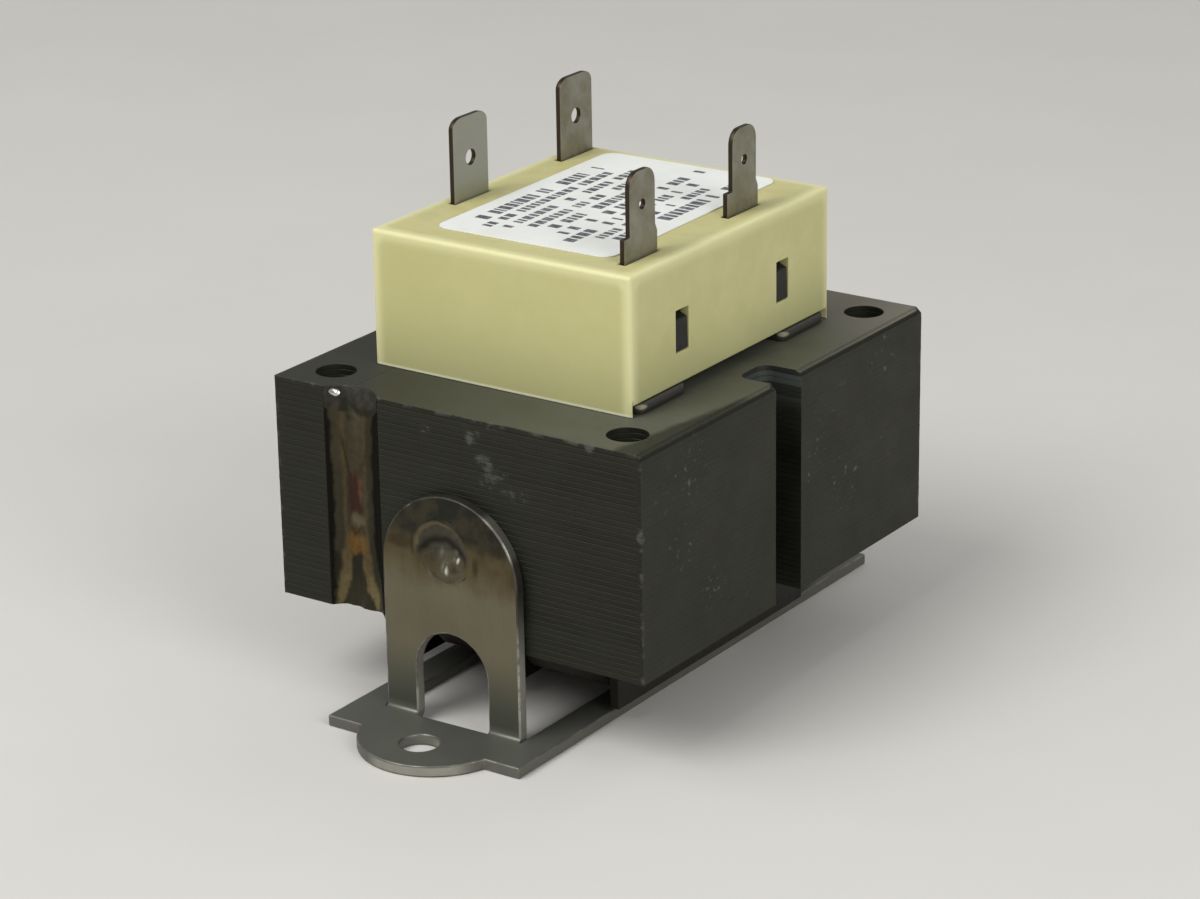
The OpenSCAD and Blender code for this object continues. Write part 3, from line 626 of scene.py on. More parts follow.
# Seam welds. A bead in a groove on each end joins the E and I stacks, run downwards without filler. The
# heat has left bands of oxide colour on it and a crater at its upper end, where it melts round into the
# core's top. On the front there is also a bead of spatter. Sizes are in millimetres.
BEAD_T = 0.9
BEAD_MOST = 1.2
BEAD_CROWN = 14.6
BEAD_HALF = 3.6
BEAD_TOP_GAP = 0.05
BEAD_SHOULDER = 2.2
BEAD_BLEND = 0.12
BEAD_SHIFT = 0.15
BEAD_ROWS = 220
BEAD_COLUMNS = 56
RIPPLE = 0.012
CRATER_DEPTH = 0.35
SPLIT_DEPTH = 0.30
FILM_T = 0.025
BACK_T = 0.005
FILM_FROM = -2.75
FILM_TO = 3.0
BROWN_STRIP = 0.6
SOOT_AND_SHADE = Vector((0.0045, 0.0045, 0.003))
ASH = Vector((0.044, 0.042, 0.036))
OLIVE = Vector((0.029, 0.027, 0.015))
UMBER = Vector((0.045, 0.037, 0.021))
TAN = Vector((0.086, 0.062, 0.029))
STRAW = Vector((0.175, 0.142, 0.066))
RUST = Vector((0.070, 0.038, 0.013))
PLUM = Vector((0.033, 0.010, 0.0075))
ROSE = Vector((0.110, 0.056, 0.030))
SLATE = Vector((0.112, 0.092, 0.058))
GOLD = Vector((0.118, 0.062, 0.014))
# Heights of the oxide bands above the core's underside
LEGS_TOP = 6.3
GOLD_TOP = 9.0
SLATE_TOP = 11.0
PLUM_TOP = 15.4
VEE_TOP = 19.2
CRATER_BOTTOM = 21.9


def soft_step(value, low, high):
    """0 below low and 1 above high, with a smooth rise between; low may be the larger."""
    share = min(max((value - low) / (high - low), 0), 1)
    return share * share * (3 - 2 * share)


def bump_at(value, middle, half):
    """1 where value is at the middle, falling smoothly to 0 at half on each side."""
    return soft_step(abs(value - middle), half, 0)


def film_edges(height):
    """Distances from the joint at which the bead's colours end on each side."""
    melted = soft_step(height, CRATER_BOTTOM + 0.6, CRATER_BOTTOM + 2.2)
    left = FILM_FROM + 0.2 * bump_at(height, 12.5, 11) - melted
    return left, FILM_TO - soft_step(height, 1, 8) + 0.2 * soft_step(height, 17, 22) + 2 * melted


def bead_tint(off_joint, height):
    """Oxide colour of the bead at a distance from the joint and a height above the core's underside, with
    soot and painted shade darkening its sides.
    """
    place = Vector((off_joint * 1.1, height * 0.5, 3.1))
    off = off_joint - BEAD_SHIFT + 0.30 * noise.noise(place) + 0.12 * noise.noise(place * 3.1)
    up = height + 0.6 * noise.noise(place * 1.7) + 0.25 * noise.noise(place * 4.3)
    across = abs(off)
    streaks = 0.5 + 0.5 * noise.noise((off_joint * 2.4, height * 0.5, 6.4))
    clouds = 0.5 + 0.5 * noise.noise((off_joint * 1.2, height * 0.9, 2.2))
    # Brown ground, greyer in the middle above and streaked with tan and rust at the sides
    tint = UMBER.lerp(SLATE, 0.30 * soft_step(up, 17, 21) * bump_at(off, 0.7, 1.1) * (0.4 + 0.6 * clouds))
    tint = tint.lerp(TAN, 0.6 * bump_at(across, 1.55, 0.6) * (0.4 + 0.6 * streaks))
    tint = tint.lerp(RUST, 0.6 * bump_at(off, 2.0, 0.6) * soft_step(up, 13, 17))
    tint = tint.lerp(OLIVE, 0.8 * bump_at(off, -2.0, 0.6) * soft_step(up, 18, 14))
    # Dark vee that opens upwards from the plum band
    vee_off = 0.6 + 1.3 * (up - PLUM_TOP) / (VEE_TOP - PLUM_TOP)
    vee = bump_at(across, max(vee_off, 0), 0.35) * soft_step(up, VEE_TOP + 0.8, VEE_TOP - 0.8)
    vee *= soft_step(up, PLUM_TOP - 0.8, PLUM_TOP) * (1 if off < 0 else 0.5)
    tint = tint.lerp(RUST * 0.35, 0.75 * vee)
    # Plum band with a rose edge, and the slate spot under it
    below = soft_step(up, PLUM_TOP + 0.9, PLUM_TOP - 0.5) * soft_step(up, SLATE_TOP - 0.6, SLATE_TOP + 0.4)
    tint = tint.lerp(PLUM, below * soft_step(across, 1.35, 0.6) * (0.65 + 0.35 * streaks))
    tint = tint.lerp(ROSE, 0.75 * below * bump_at(off, 0.85, 0.45) * soft_step(up, 11.5, 13.5))
    slate = bump_at(up, SLATE_TOP - 0.8, 1.2) * soft_step(abs(off - 0.3), 1.3, 0.5)
    tint = tint.lerp(SLATE, slate * (0.5 + 0.5 * streaks))
    # Gold patch, with a dark curve along its top
    gold = soft_step(up, GOLD_TOP + 0.7, GOLD_TOP - 1.2) * soft_step(up, LEGS_TOP - 1.2, LEGS_TOP + 0.6)
    tint = tint.lerp(GOLD.lerp(TAN, 0.5 * soft_step(across, 0.6, 1.2)), gold * soft_step(across, 1.9, 1.2))
    tint = tint.lerp(STRAW, 0.35 * gold * bump_at(off, 0.75, 0.5) * streaks)
    curve = bump_at(up - 0.35 * across * across, GOLD_TOP - 0.1, 0.45)
    tint = tint.lerp(RUST * 0.4, 0.7 * curve * soft_step(across, 1.2, 0.6))
    # Two straw-coloured legs that spread towards the foot
    leg_off = 1.45 + 0.057 * max(LEGS_TOP - 0.8 - up, 0) ** 2
    on_leg = soft_step(abs(across - leg_off), 0.9, 0.4) * (0.8 + 0.2 * streaks)
    leg_tint = (TAN * 1.15).lerp(STRAW, soft_step(up, LEGS_TOP - 0.5, 2.0) * (0.95 if off > 0 else 0.55))
    between_legs = OLIVE * (1 - 0.4 * soft_step(up, 1.5, 5))
    tint = tint.lerp(between_legs.lerp(leg_tint, on_leg), soft_step(up, LEGS_TOP + 0.5, LEGS_TOP - 0.4))
    # Scorched sides, darkened by soot and by painted shade along the groove's walls, and the ashen crater
    left, right = (edge - BEAD_SHIFT for edge in film_edges(height))
    tint = tint.lerp(OLIVE, 0.9 * soft_step(off, right - 0.5, right))
    outside = soft_step(off, right + 0.5 * BROWN_STRIP, right + BROWN_STRIP)
    tint = tint.lerp(SOOT_AND_SHADE, outside + soft_step(off, left + 0.35, left))
    crater_edge = CRATER_BOTTOM + 0.12 * off * off
    crater = soft_step(up, crater_edge - 0.4, crater_edge + 0.5)
    slag = soft_step(noise.noise((off_joint * 1.3, height * 1.3, 8.8)), -0.25, 0.4)
    molten = SOOT_AND_SHADE.lerp(OLIVE * 1.5, 0.35 + 0.55 * slag)
    ashen = soft_step(height, CRATER_BOTTOM + 0.3, CRATER_BOTTOM + 2.8) * (0.55 + 0.45 * slag)
    return tint.lerp(molten.lerp(ASH, ashen), crater)


def groove_bed(across):
    """Height of the groove's own face over its deepest line."""
    return (GROOVE_R - math.sqrt(GROOVE_R ** 2 - (across * MM) ** 2)) / MM


def bead_rise(across, off_joint, height, top):
    """Height of the bead's face over the groove's deepest line, with its crater and split lower end."""
    bed = groove_bed(across) + FILM_T
    crown = BEAD_T - across * across / BEAD_CROWN
    crown += RIPPLE * math.sin(6.5 * (height + 0.7 * abs(off_joint)))
    crown += 0.07 * noise.noise((across * 0.7, height * 0.4, 1.3))
    in_crater = soft_step(height, CRATER_BOTTOM - 0.4, CRATER_BOTTOM + 1.0)
    crown -= CRATER_DEPTH * in_crater * soft_step(abs(off_joint), 2.4, 0.6)
    crown += 0.22 * in_crater * noise.noise((across * 1.1, height * 1.1, 7.7))
    crown -= SPLIT_DEPTH * soft_step(height, LEGS_TOP, 1.5) * soft_step(abs(off_joint), 1.0, 0.1)
    lift = BEAD_BLEND * math.log(math.exp((crown - bed) / BEAD_BLEND) + 1)
    rounded = max(height - top + BEAD_SHOULDER, 0) / BEAD_SHOULDER
    return bed + min(max(lift, 0), BEAD_MOST) * math.sqrt(max(1 - rounded ** 2, 0))


def bead_mesh(name, side):
    """Weld bead in the groove on the end given by side's sign, with its oxide colours and painted shade."""
    top = (CORE_TOP - CORE_BOTTOM) / MM - BEAD_TOP_GAP
    deepest = CORE_END - GROOVE_DEPTH
    sections, tints = [], []
    for row in range(BEAD_ROWS + 1):
        height = top * row / BEAD_ROWS
        z = CORE_BOTTOM + height * MM
        face, back = [], []
        for column in range(BEAD_COLUMNS + 1):
            across = (2 * column / BEAD_COLUMNS - 1) * BEAD_HALF
            x = GROOVE_X + across * MM
            rise = bead_rise(across, (x - JOINT_X) / MM, height, top)
            face.append((x, side * (deepest + rise * MM), z))
            back.append((x, side * (deepest + (groove_bed(across) + BACK_T) * MM), z))
        sections.append(face + back[::-1])
        tints += [bead_tint((p[0] - JOINT_X) / MM, height) for p in sections[-1]]
    mesh = loft_mesh(name, sections)
    mesh.attributes.new("oxide_and_light", "FLOAT_COLOR", "POINT").data.foreach_set(
        "color", [c for tint in tints for c in (*tint, 1)])
    for face in mesh.polygons:
        off_joint = (face.center.x - JOINT_X) / MM
        left, right = film_edges((face.center.z - CORE_BOTTOM) / MM)
        face.material_index = int(not left < off_joint < right + BROWN_STRIP)
    return mesh


weld = Finish("weld_oxide_and_shade", Metallic=0.3, Specular_IOR_Level=0.12)
pits = weld.noise(1500, detail=4)
weld.paint(pits.spread(0.4, 0.8, 0, 0.4), weld.attribute("oxide_and_light", "Color"), (0.020, 0.017, 0.013))
weld.roughen(pits, 0.42, 0.6)
weld.bump(pits, 0.2, 0.04 * MM)
# The dark film along the groove's walls beside the bead stands for scorching and for painted shade
scorch_and_shade = Finish("scorched_and_shaded_film", Specular_IOR_Level=0.06, Roughness=0.7)
scorch_and_shade.paint(scorch_and_shade.noise(900), (0.0035, 0.0035, 0.0022), (0.0075, 0.007, 0.0045))
for end, side in (("front", -1), ("rear", 1)):
    seam = bead_mesh(f"seam_weld_{end}", side)
    add_piece(f"seam_weld_{end}", seam, [weld, scorch_and_shade], "weld_steel", f"weld_bead_{end}")

SPATTER_AT = Vector((-15.95, -28.05, 35.45)) * MM
SPATTER_SIZE = Vector((0.85, 0.42, 0.42)) * MM
SPATTER_RINGS = 16
SPATTER_SPOKES = 24
spatter_metal = Finish("spatter", Metallic=1.0, Base_Color=(0.62, 0.62, 0.60))
spatter_metal.roughen(spatter_metal.noise(1800), 0.12, 0.3)
rings = []
for k in range(1, SPATTER_RINGS):
    angle = math.pi * k / SPATTER_RINGS
    ring = []
    for x, y in circle_points(0, 0, math.sin(angle), SPATTER_SPOKES):
        out = Vector((x, y, -math.cos(angle)))
        out *= 1 + 0.16 * noise.noise(out * 1.6)
        ring.append(SPATTER_AT + out * SPATTER_SIZE)
    rings.append(ring)
add_piece("weld_spatter", loft_mesh("weld_spatter", rings), [spatter_metal], "weld_steel")


# Foot bracket. One blank of cold-rolled sheet steel: two ears are cut free on three sides and folded up
# against the core's ends, and the plate runs out into two half-round feet. Its cut edges are brighter low
# down, and burnt dark beside the ear welds.
BRACKET_EASE = 0.2 * MM
EAR_FACE = 29.875 * MM
EAR_FOOT = 1.35 * MM
BURN_WANDER = 5 * MM
BURN_RUNS = 3 * MM
PALE_STEEL = (0.158, 0.140, 0.092)
DULL_STEEL = (0.128, 0.112, 0.072)
ROLL_MARK = (0.102, 0.093, 0.063)
LEG_STEEL = (0.084, 0.088, 0.068)
PLATE_STEEL = (0.148, 0.154, 0.128)
BROWNED = (0.096, 0.076, 0.036)
BURNT = (0.044, 0.033, 0.014)
SMEARED = (0.036, 0.026, 0.011)
BLUED_DARK = (0.014, 0.0145, 0.0105)
BLUED_BROWN = (0.036, 0.031, 0.019)
BURR_GLINT = (0.30, 0.295, 0.25)
# Dark smears of oxide on the front ear: place and reach in millimetres, and the squeeze along each axis
SMEARS = [
    ((-6.3, -29.9, 21.1), 2.0, (0.7, 1, 1.3)), ((3.5, -29.9, 20.0), 1.5, (2.2, 1, 0.8)),
    ((6.4, -29.9, 22.3), 1.8, (0.9, 1, 1.4)), ((-4.7, -29.9, 20.9), 1.2, (1.8, 1, 0.65)),
]
spot_low, spot_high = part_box("ear_weld_front")
EAR_WELD_X = (spot_low.x + spot_high.x) / 2
EAR_WELD_Z = (spot_low.z + spot_high.z) / 2


def rolled_steel(finish):
    """Gives a finish the sheet's colour: cloudy rolled steel, browned and darkened by the ear welds."""
    at_z = finish.axis("Z")
    finish.paint(finish.noise(90, detail=4).spread(0.3, 0.7), DULL_STEEL, PALE_STEEL)
    finish.lay(finish.noise(260, detail=5, stretch=(14, 1, 1)).spread(0.4, 0.8, 0, 0.25), ROLL_MARK)
    finish.lay(at_z.spread(11 * MM, 3 * MM), LEG_STEEL)
    finish.lay(at_z.spread(2.5 * MM, 1.4 * MM), PLATE_STEEL)
    # Height over the weld, made to wander so that the burnt edge is uneven and has runs in it
    runs = finish.noise(700, detail=4, stretch=(1, 1, 0.25))
    wander = (finish.noise(210, detail=5) - 0.5) * BURN_WANDER + (runs - 0.5) * BURN_RUNS
    height = at_z - EAR_WELD_Z + wander
    finish.lay(height.spread(-4.8 * MM, -1.0 * MM), BROWNED)
    burnt = finish.noise(260, detail=5).spread(0.36, 0.62, 0.15, 1)
    finish.lay(burnt * height.spread(-2.6 * MM, 0.6 * MM), BURNT)
    for place, reach, squeeze in SMEARS:
        finish.lay(finish.near(place, reach, squeeze).spread(0.1, 0.8, 0, 0.75), SMEARED)
    mottle = finish.noise(420, detail=5).spread(0.42, 0.64)
    finish.lay(height.spread(0.2 * MM, 2.6 * MM, 0, 0.95), finish.mix(mottle, BLUED_DARK, BLUED_BROWN))


sheet = Finish("rolled_sheet", Metallic=0.65, Specular_IOR_Level=0.3)
rolled_steel(sheet)
sheet.shade(Roughness=sheet.noise(90, detail=4).spread(0.2, 0.8, 0.40, 0.54))
drawn = sheet.noise(260, detail=5, stretch=(14, 1, 1))
sheet.bump(drawn * 0.6 + sheet.noise(2200, detail=3), 0.12, 0.03 * MM)
worn = Finish("worn_edge", Metallic=0.5)
at_z = worn.axis("Z")
rub = worn.noise(420, detail=5).spread(0.42, 0.66)
worn.paint(rub, (0.120, 0.116, 0.092), (0.330, 0.325, 0.280))
plate_edge = worn.mix(rub, (0.110, 0.107, 0.087), (0.170, 0.166, 0.140))
worn.lay(at_z.spread(1.8 * MM, 1.4 * MM), plate_edge)
burnt_edge = worn.mix(rub, (0.030, 0.028, 0.020), (0.060, 0.056, 0.044))
worn.lay(at_z.spread(9 * MM, 18 * MM), burnt_edge)
# Painted highlights: a glint along the upper right of the front ear's arc, and one on a burr at its upper
# left
glint = worn.near((6.6, -29.8, 24.0), 4.6).spread(0.1, 0.6, 0, 0.9)
worn.lay(glint * rub.spread(0, 1, 0.4, 1), (0.270, 0.258, 0.220))
worn.lay(worn.near((-4.85, -29.8, 25.0), 0.7).spread(0.1, 0.6), BURR_GLINT)
worn.shade(Roughness=rub.spread(0, 1, 0.45, 0.3))
sheared = Finish("sheared_edge", Metallic=0.35, Specular_IOR_Level=0.35)
at_z = sheared.axis("Z")
burr = sheared.noise(700, detail=4, stretch=(1, 1, 0.5))
sheared.paint(burr, (0.150, 0.148, 0.123), (0.240, 0.237, 0.200))
sheared.lay(at_z.spread(8 * MM, 19 * MM), (0.024, 0.023, 0.018))
# Painted shade: the plate's rim is darker; painted light: it is brighter round the front of the foot
on_rim = at_z.spread(1.6 * MM, 1.2 * MM)
sheared.lay(on_rim, sheared.mix(burr, (0.092, 0.091, 0.075), (0.135, 0.133, 0.112)))
lit_foot_front = sheared.near((2.6, -41.0, 0.6), 7.5, (1, 0.6, 1)).spread(0.05, 0.5)
sheared.lay(on_rim * lit_foot_front, sheared.mix(burr, (0.205, 0.200, 0.166), (0.320, 0.314, 0.265)))
# Painted highlight on the sheared edge at the upper right of the front ear's arc
sheared.lay(sheared.near((6.9, -29.2, 24.2), 4.4).spread(0.1, 0.5, 0, 0.9), (0.088, 0.086, 0.073))
sheared.roughen(burr, 0.4, 0.6)
bracket_mesh = softened("mounting_bracket", BRACKET_EASE, rim=1)
for vertex in bracket_mesh.vertices:
    vertex.co.z = max(vertex.co.z, 0)
for face in bracket_mesh.polygons:
    across_sheet = face.normal.y if face.center.z > EAR_FOOT else face.normal.z
    if abs(across_sheet) < 0.5 and face.material_index == 0:
        face.material_index = 2
add_eased("foot_bracket", bracket_mesh, [sheet, worn, sheared], "bracket_steel", "mounting_bracket")


# Ear welds. A spot weld through each ear has pushed the sheet into a round hollow and left a lump of melted
# steel low in it, with a thin burr round the upper rim. Sizes are in millimetres.
HOLLOW_R = 3.9
HOLLOW_DEPTH = 0.42
HOLLOW_RINGS = 44
HOLLOW_SPOKES = 80
DIMPLE_R = 3.8
DIMPLE_DEPTH = 0.45
DIMPLE_CLEAR = 0.03
RIM_SINK = 0.05
LUMP_OFF = (0.55, -1.35)
LUMP_HALF = (2.9, 2.1)
LUMP_RISE = 0.46
NUGGET_R = 1.58
NUGGET_SPOKES = 32
CRESCENT_R = 3.2
LUMP_GREY = Vector((0.098, 0.088, 0.056))
LUMP_TAN = Vector((0.080, 0.062, 0.030))
LUMP_GLINT = Vector((0.85, 0.83, 0.70))
HOLLOW_GREY = Vector((0.058, 0.052, 0.038))
HOLLOW_TAN = Vector((0.150, 0.115, 0.058))
# Knobs on the lump with painted highlights: place, half width and half height, and how bright each is
GLINT_KNOBS = [
    (2.2, -0.45, 0.32, 0.45, 1.0), (0.95, -1.75, 0.26, 0.72, 1.0), (-1.5, -2.6, 0.34, 0.24, 0.40),
    (1.85, 0.35, 0.55, 0.60, 0.10), (0.0, 0.1, 0.45, 0.95, 0.08), (0.45, -1.4, 0.40, 1.10, 0.12),
]


def lump_share(u, v):
    """1 in the middle of the lump, falling to 0 at its edge."""
    away = math.hypot((u - LUMP_OFF[0]) / LUMP_HALF[0], (v - LUMP_OFF[1]) / LUMP_HALF[1])
    away *= 1 + 0.22 * noise.noise((u * 0.8, v * 0.8, 4.2))
    return math.sqrt(max(1 - away ** 2, 0))


def knob_share(u, v, knob):
    """How bright a knob's painted glint is in its middle, falling smoothly to 0 at its edge."""
    x, y, half_u, half_v, bright = knob
    return bright * bump_at(math.hypot((u - x) / half_u, (v - y) / half_v), 0, 1)


def dimple_bed(away):
    """Height of the ear's own dimple, just clear of it; past its rim it sinks into the ear."""
    dimple = (DIMPLE_DEPTH - DIMPLE_CLEAR) * max(1 - (away / DIMPLE_R) ** 2, 0)
    return -dimple - RIM_SINK * soft_step(away, DIMPLE_R, HOLLOW_R)


def hollow_rise(u, v):
    """Height of the weld's face over the ear's face at u to the right and v up from its middle."""
    away = math.hypot(u, v)
    bowl = HOLLOW_DEPTH * soft_step(away, DIMPLE_R - 0.1, 1.7) * soft_step(v, -2.8, 0.2)
    burr = 0.08 * bump_at(away, DIMPLE_R - 0.3, 0.35) * soft_step(v, -0.6, 1.2)
    lump = LUMP_RISE * lump_share(u, v) ** 2.6
    knobs = 0.14 * sum(knob_share(u, v, knob) for knob in GLINT_KNOBS)
    dent = 0.16 * bump_at(math.hypot(u - 1.75, v + 1.5), 0, 0.8)
    rough = 0.05 * noise.noise((u * 1.5, v * 1.5, 0.7)) * soft_step(away, DIMPLE_R, DIMPLE_R - 0.8)
    sunk = RIM_SINK * soft_step(away, DIMPLE_R, HOLLOW_R)
    return max(0.006 - bowl + burr + lump + knobs - dent + rough - sunk, dimple_bed(away) + 0.004)


def hollow_tint(u, v):
    """Oxide colour of the weld's face at u and v, with its painted shade and glints, and how far it hides
    the ear's own colour.
    """
    away = math.hypot(u, v)
    from_arc = math.hypot(u - 0.1, v + 1.7)
    warp = 0.5 * noise.noise((u * 0.9, v * 0.9, 9.0))
    upper = soft_step(v + 0.5 * warp, -1.4, 0.4)
    on_rim = bump_at(away + 0.3 * warp, DIMPLE_R - 0.35, 0.5) * soft_step(u, 3.6, 0.4)
    lump = lump_share(u, v)
    tint = LUMP_TAN.lerp(HOLLOW_GREY, upper)
    tint = tint.lerp(HOLLOW_TAN, upper * on_rim)
    # Painted shade: a dark crescent where the hollow's wall meets the lump's upper edge
    tint = tint.lerp(SOOT_AND_SHADE, 0.9 * upper * bump_at(from_arc + 0.5 * warp, CRESCENT_R, 0.85))
    tint = tint.lerp(LUMP_GREY, soft_step(lump, 0.25, 0.75) * soft_step(u + warp, -0.9, 0.3))
    tint = tint.lerp(LUMP_TAN * 0.5, 0.8 * bump_at(math.hypot(u - 1.8, v + 1.5), 0, 0.8))
    # Painted glints and lit patches on the lump's knobs
    for knob in GLINT_KNOBS:
        tint = tint.lerp(LUMP_GLINT, knob_share(u, v, knob))
    hide = max(soft_step(v + warp, -2.6, -1.2), soft_step(lump, 0.35, 0.7))
    return tint, hide * soft_step(away, DIMPLE_R + 0.05, DIMPLE_R - 0.6)


def spot_weld_mesh(name, side):
    """Spot weld on the end given by side's sign: its coloured face and the nugget behind it."""
    sections, tints = [], []
    rings = [(k + 0.5) / HOLLOW_RINGS for k in range(HOLLOW_RINGS)]
    for share, rise in [(r, hollow_rise) for r in rings] + [(r, None) for r in rings[::-1]]:
        section = []
        for u, v in circle_points(0, 0, share * HOLLOW_R, HOLLOW_SPOKES):
            out = rise(u, v) if rise else dimple_bed(math.hypot(u, v))
            section.append((-side * (EAR_WELD_X + u * MM), side * (EAR_FACE + out * MM),
                            EAR_WELD_Z + v * MM))
            tints.append(hollow_tint(u, v))
        sections.append(section)
    face = loft_mesh("spot_face", sections)
    face.attributes.new("oxide_and_light", "FLOAT_COLOR", "POINT").data.foreach_set(
        "color", [c for tint, hide in tints for c in (*tint, hide)])
    nugget_ends = (side * CORE_END, side * (EAR_FACE - DIMPLE_DEPTH * MM))
    circle = circle_points(-side * EAR_WELD_X, EAR_WELD_Z, NUGGET_R * MM, NUGGET_SPOKES)
    nugget = loft_mesh("nugget", [[(x, y, z) for x, z in circle] for y in nugget_ends])
    nugget.attributes.new("oxide_and_light", "FLOAT_COLOR", "POINT")
    return joined(name, [face, nugget])


spot = Finish("spot_weld", Metallic=0.75, Specular_IOR_Level=0.4)
rolled_steel(spot)
pitting = spot.noise(1600, detail=4)
melt = spot.mix(pitting.spread(0.4, 0.8, 0, 0.4), spot.attribute("oxide_and_light", "Color"), (0.03, 0.024, 0.015))
spot.lay(spot.attribute("oxide_and_light", "Alpha"), melt)
spot.roughen(pitting, 0.26, 0.44)
spot.bump(pitting, 0.2, 0.04 * MM)
for end, side in (("front", -1), ("rear", 1)):
    lump = spot_weld_mesh(f"spot_weld_{end}", side)
    add_piece(f"spot_weld_{end}", lump, [spot], "weld_steel", f"ear_weld_{end}")


# Tabs. Four quick-connect blades stamped from tinned strip, the primary pair wide and the secondary pair
# narrow with shoulders. The tin has dulled, and the cut edges are bare and painted dark, also as their
# shade.
TAB_EASE = 0.07 * MM
TIN_DULL = (0.225, 0.212, 0.150)
TIN_PALE = (0.330, 0.325, 0.262)
TIN_HAZE = (0.15, 0.138, 0.095)
TIN_RUBBED = (0.40, 0.405, 0.345)
TAB_EDGE_BARE_AND_SHADED = (0.045, 0.033, 0.020)

tin = Finish("dull_tin", Metallic=0.85)
stain = tin.noise(330, detail=5)
haze = tin.noise(1300, detail=4, stretch=(1, 1, 0.35))
tin.paint(stain.spread(0.3, 0.7), TIN_DULL, TIN_PALE)
tin.lay(haze.spread(0.5, 0.8, 0, 0.4), TIN_HAZE)
tin.lay(tin.near((-14.7, -4.5, 56), 9, (1, 1, 0.5)).spread(0.1, 0.5, 0, 0.8), TIN_RUBBED)
# Painted shade: the cut edges, bare steel, are darker than the faces
face_on = abs(tin.facing("X")).spread(0.5, 0.9)
tin.paint(face_on, TAB_EDGE_BARE_AND_SHADED, tin.colour)
tin.roughen(stain, 0.38, 0.52)
tin.bump(haze, 0.15, 0.03 * MM)
for coil in WIRES:
    for end in ("front", "rear"):
        node = f"{coil}_tab_{end}"
        add_eased(f"{coil}_blade_{end}", softened(node, TAB_EASE), [tin], "tab_tin", node)


# Terminal cap. Moulded from cream nylon as a shell over the upper coil end, snapped on to the bobbin's
# catches, with slots for the tabs. The plastic lets a little light in, and handling has left faint marks.
CAP_EASE = 0.12 * MM
CAP_CUTS = (38.1 * MM, 50.8 * MM)
CAP_GLOW = 2.0 * MM
CREAM_DULL = (0.475, 0.450, 0.205)
CREAM_PALE = (0.530, 0.505, 0.250)
CREAM_MOTTLE = (0.440, 0.405, 0.170)
CREAM_GRIME = (0.300, 0.265, 0.125)
CREAM_TOP_SHADE = (0.440, 0.395, 0.165)
CREAM_FRONT_SHADE = (0.430, 0.408, 0.170)
CREAM_LOW_SHADE = (0.395, 0.385, 0.185)
CREAM_EDGE_GLOW = (0.640, 0.615, 0.340)
CREAM_RIM_HIGHLIGHT = (0.680, 0.665, 0.470)

cream = Finish("cream_nylon", Subsurface_Weight=0.25, Subsurface_Radius=(1.0, 0.85, 0.4),
               Subsurface_Scale=1.2 * MM, Specular_IOR_Level=0.45)
at_x, at_y, at_z = (cream.axis(name) for name in "XYZ")
mottle = cream.noise(420, detail=5)
cream.paint(cream.noise(70, detail=4).spread(0.3, 0.7), CREAM_DULL, CREAM_PALE)
cream.lay(mottle.spread(0.35, 0.7, 0, 0.25), CREAM_MOTTLE)
on_top = cream.facing("Z").spread(0.5, 0.95)
grime = cream.noise(240, detail=6, distortion=0.5).spread(0.45, 0.75)
cream.lay(on_top * grime * 0.35, CREAM_GRIME)
# Painted shade: the top and the front face are darker, and the walls darken towards the bottom
cream.lay(on_top * 0.3, CREAM_TOP_SHADE)
cream.lay(cream.facing("Y").spread(-0.6, -0.95, 0, 0.5), CREAM_FRONT_SHADE)
cream.lay(at_z.spread(cap_low.z + 9 * MM, cap_low.z, 0, 0.85), CREAM_LOW_SHADE)
# Painted glow: light shows through where two or three walls meet, so these edges are painted lighter
walls = zip((abs(at_x), abs(at_y), at_z), cap_high)
near_side, near_end, near_top = (at.spread(wall - CAP_GLOW, wall) for at, wall in walls)
glow = near_side + near_end + near_top - 1
cream.lay(glow.spread(0, 1, 0, 0.8), CREAM_EDGE_GLOW)
# Painted highlight: a thin light line along the cap's bottom edge
cream.lay(at_z.spread(cap_low.z + 0.45 * MM, cap_low.z + 0.2 * MM, 0, 0.8), CREAM_RIM_HIGHLIGHT)
cream.roughen(mottle, 0.4, 0.54)
cream.bump(mottle + cream.noise(2400), 0.10, 0.05 * MM)
cap_mesh = softened("terminal_cap", CAP_EASE, segments=3, cuts=CAP_CUTS)
add_eased("nylon_cap", cap_mesh, [cream], "cap_nylon", "terminal_cap")


# Rating label. A white paper label with round corners, stuck on the cap between the tabs. Its print is
# stood for by plain rows of short dark bars.
LABEL_W = 22.68 * MM
LABEL_L = 34 * MM
LABEL_TURN = math.radians(0.8)
LABEL_EASE = 0.03 * MM
PRINT_T = 0.012 * MM
PRINT_ROWS = 9
PRINT_MARGIN = 1.7 * MM
PRINT_GAP = 0.32 * MM
PAPER_WHITE = (0.725, 0.738, 0.705)
PAPER_YELLOWED = (0.645, 0.648, 0.600)
INK = (0.055, 0.056, 0.070)
INK_FADED = (0.26, 0.26, 0.28)
label_low, label_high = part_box("rating_label")

paper = Finish("label_paper", Specular_IOR_Level=0.4)
fibre = paper.noise(900, detail=5)
yellowing = paper.noise(110, detail=4).spread(0.35, 0.75, 0, 0.7)
paper.paint(yellowing, PAPER_WHITE, PAPER_YELLOWED)
paper.roughen(fibre, 0.45, 0.6)
paper.bump(fibre, 0.12, 0.02 * MM)
add_piece("paper_label", softened("rating_label", LABEL_EASE), [paper], "label_paper", "rating_label")

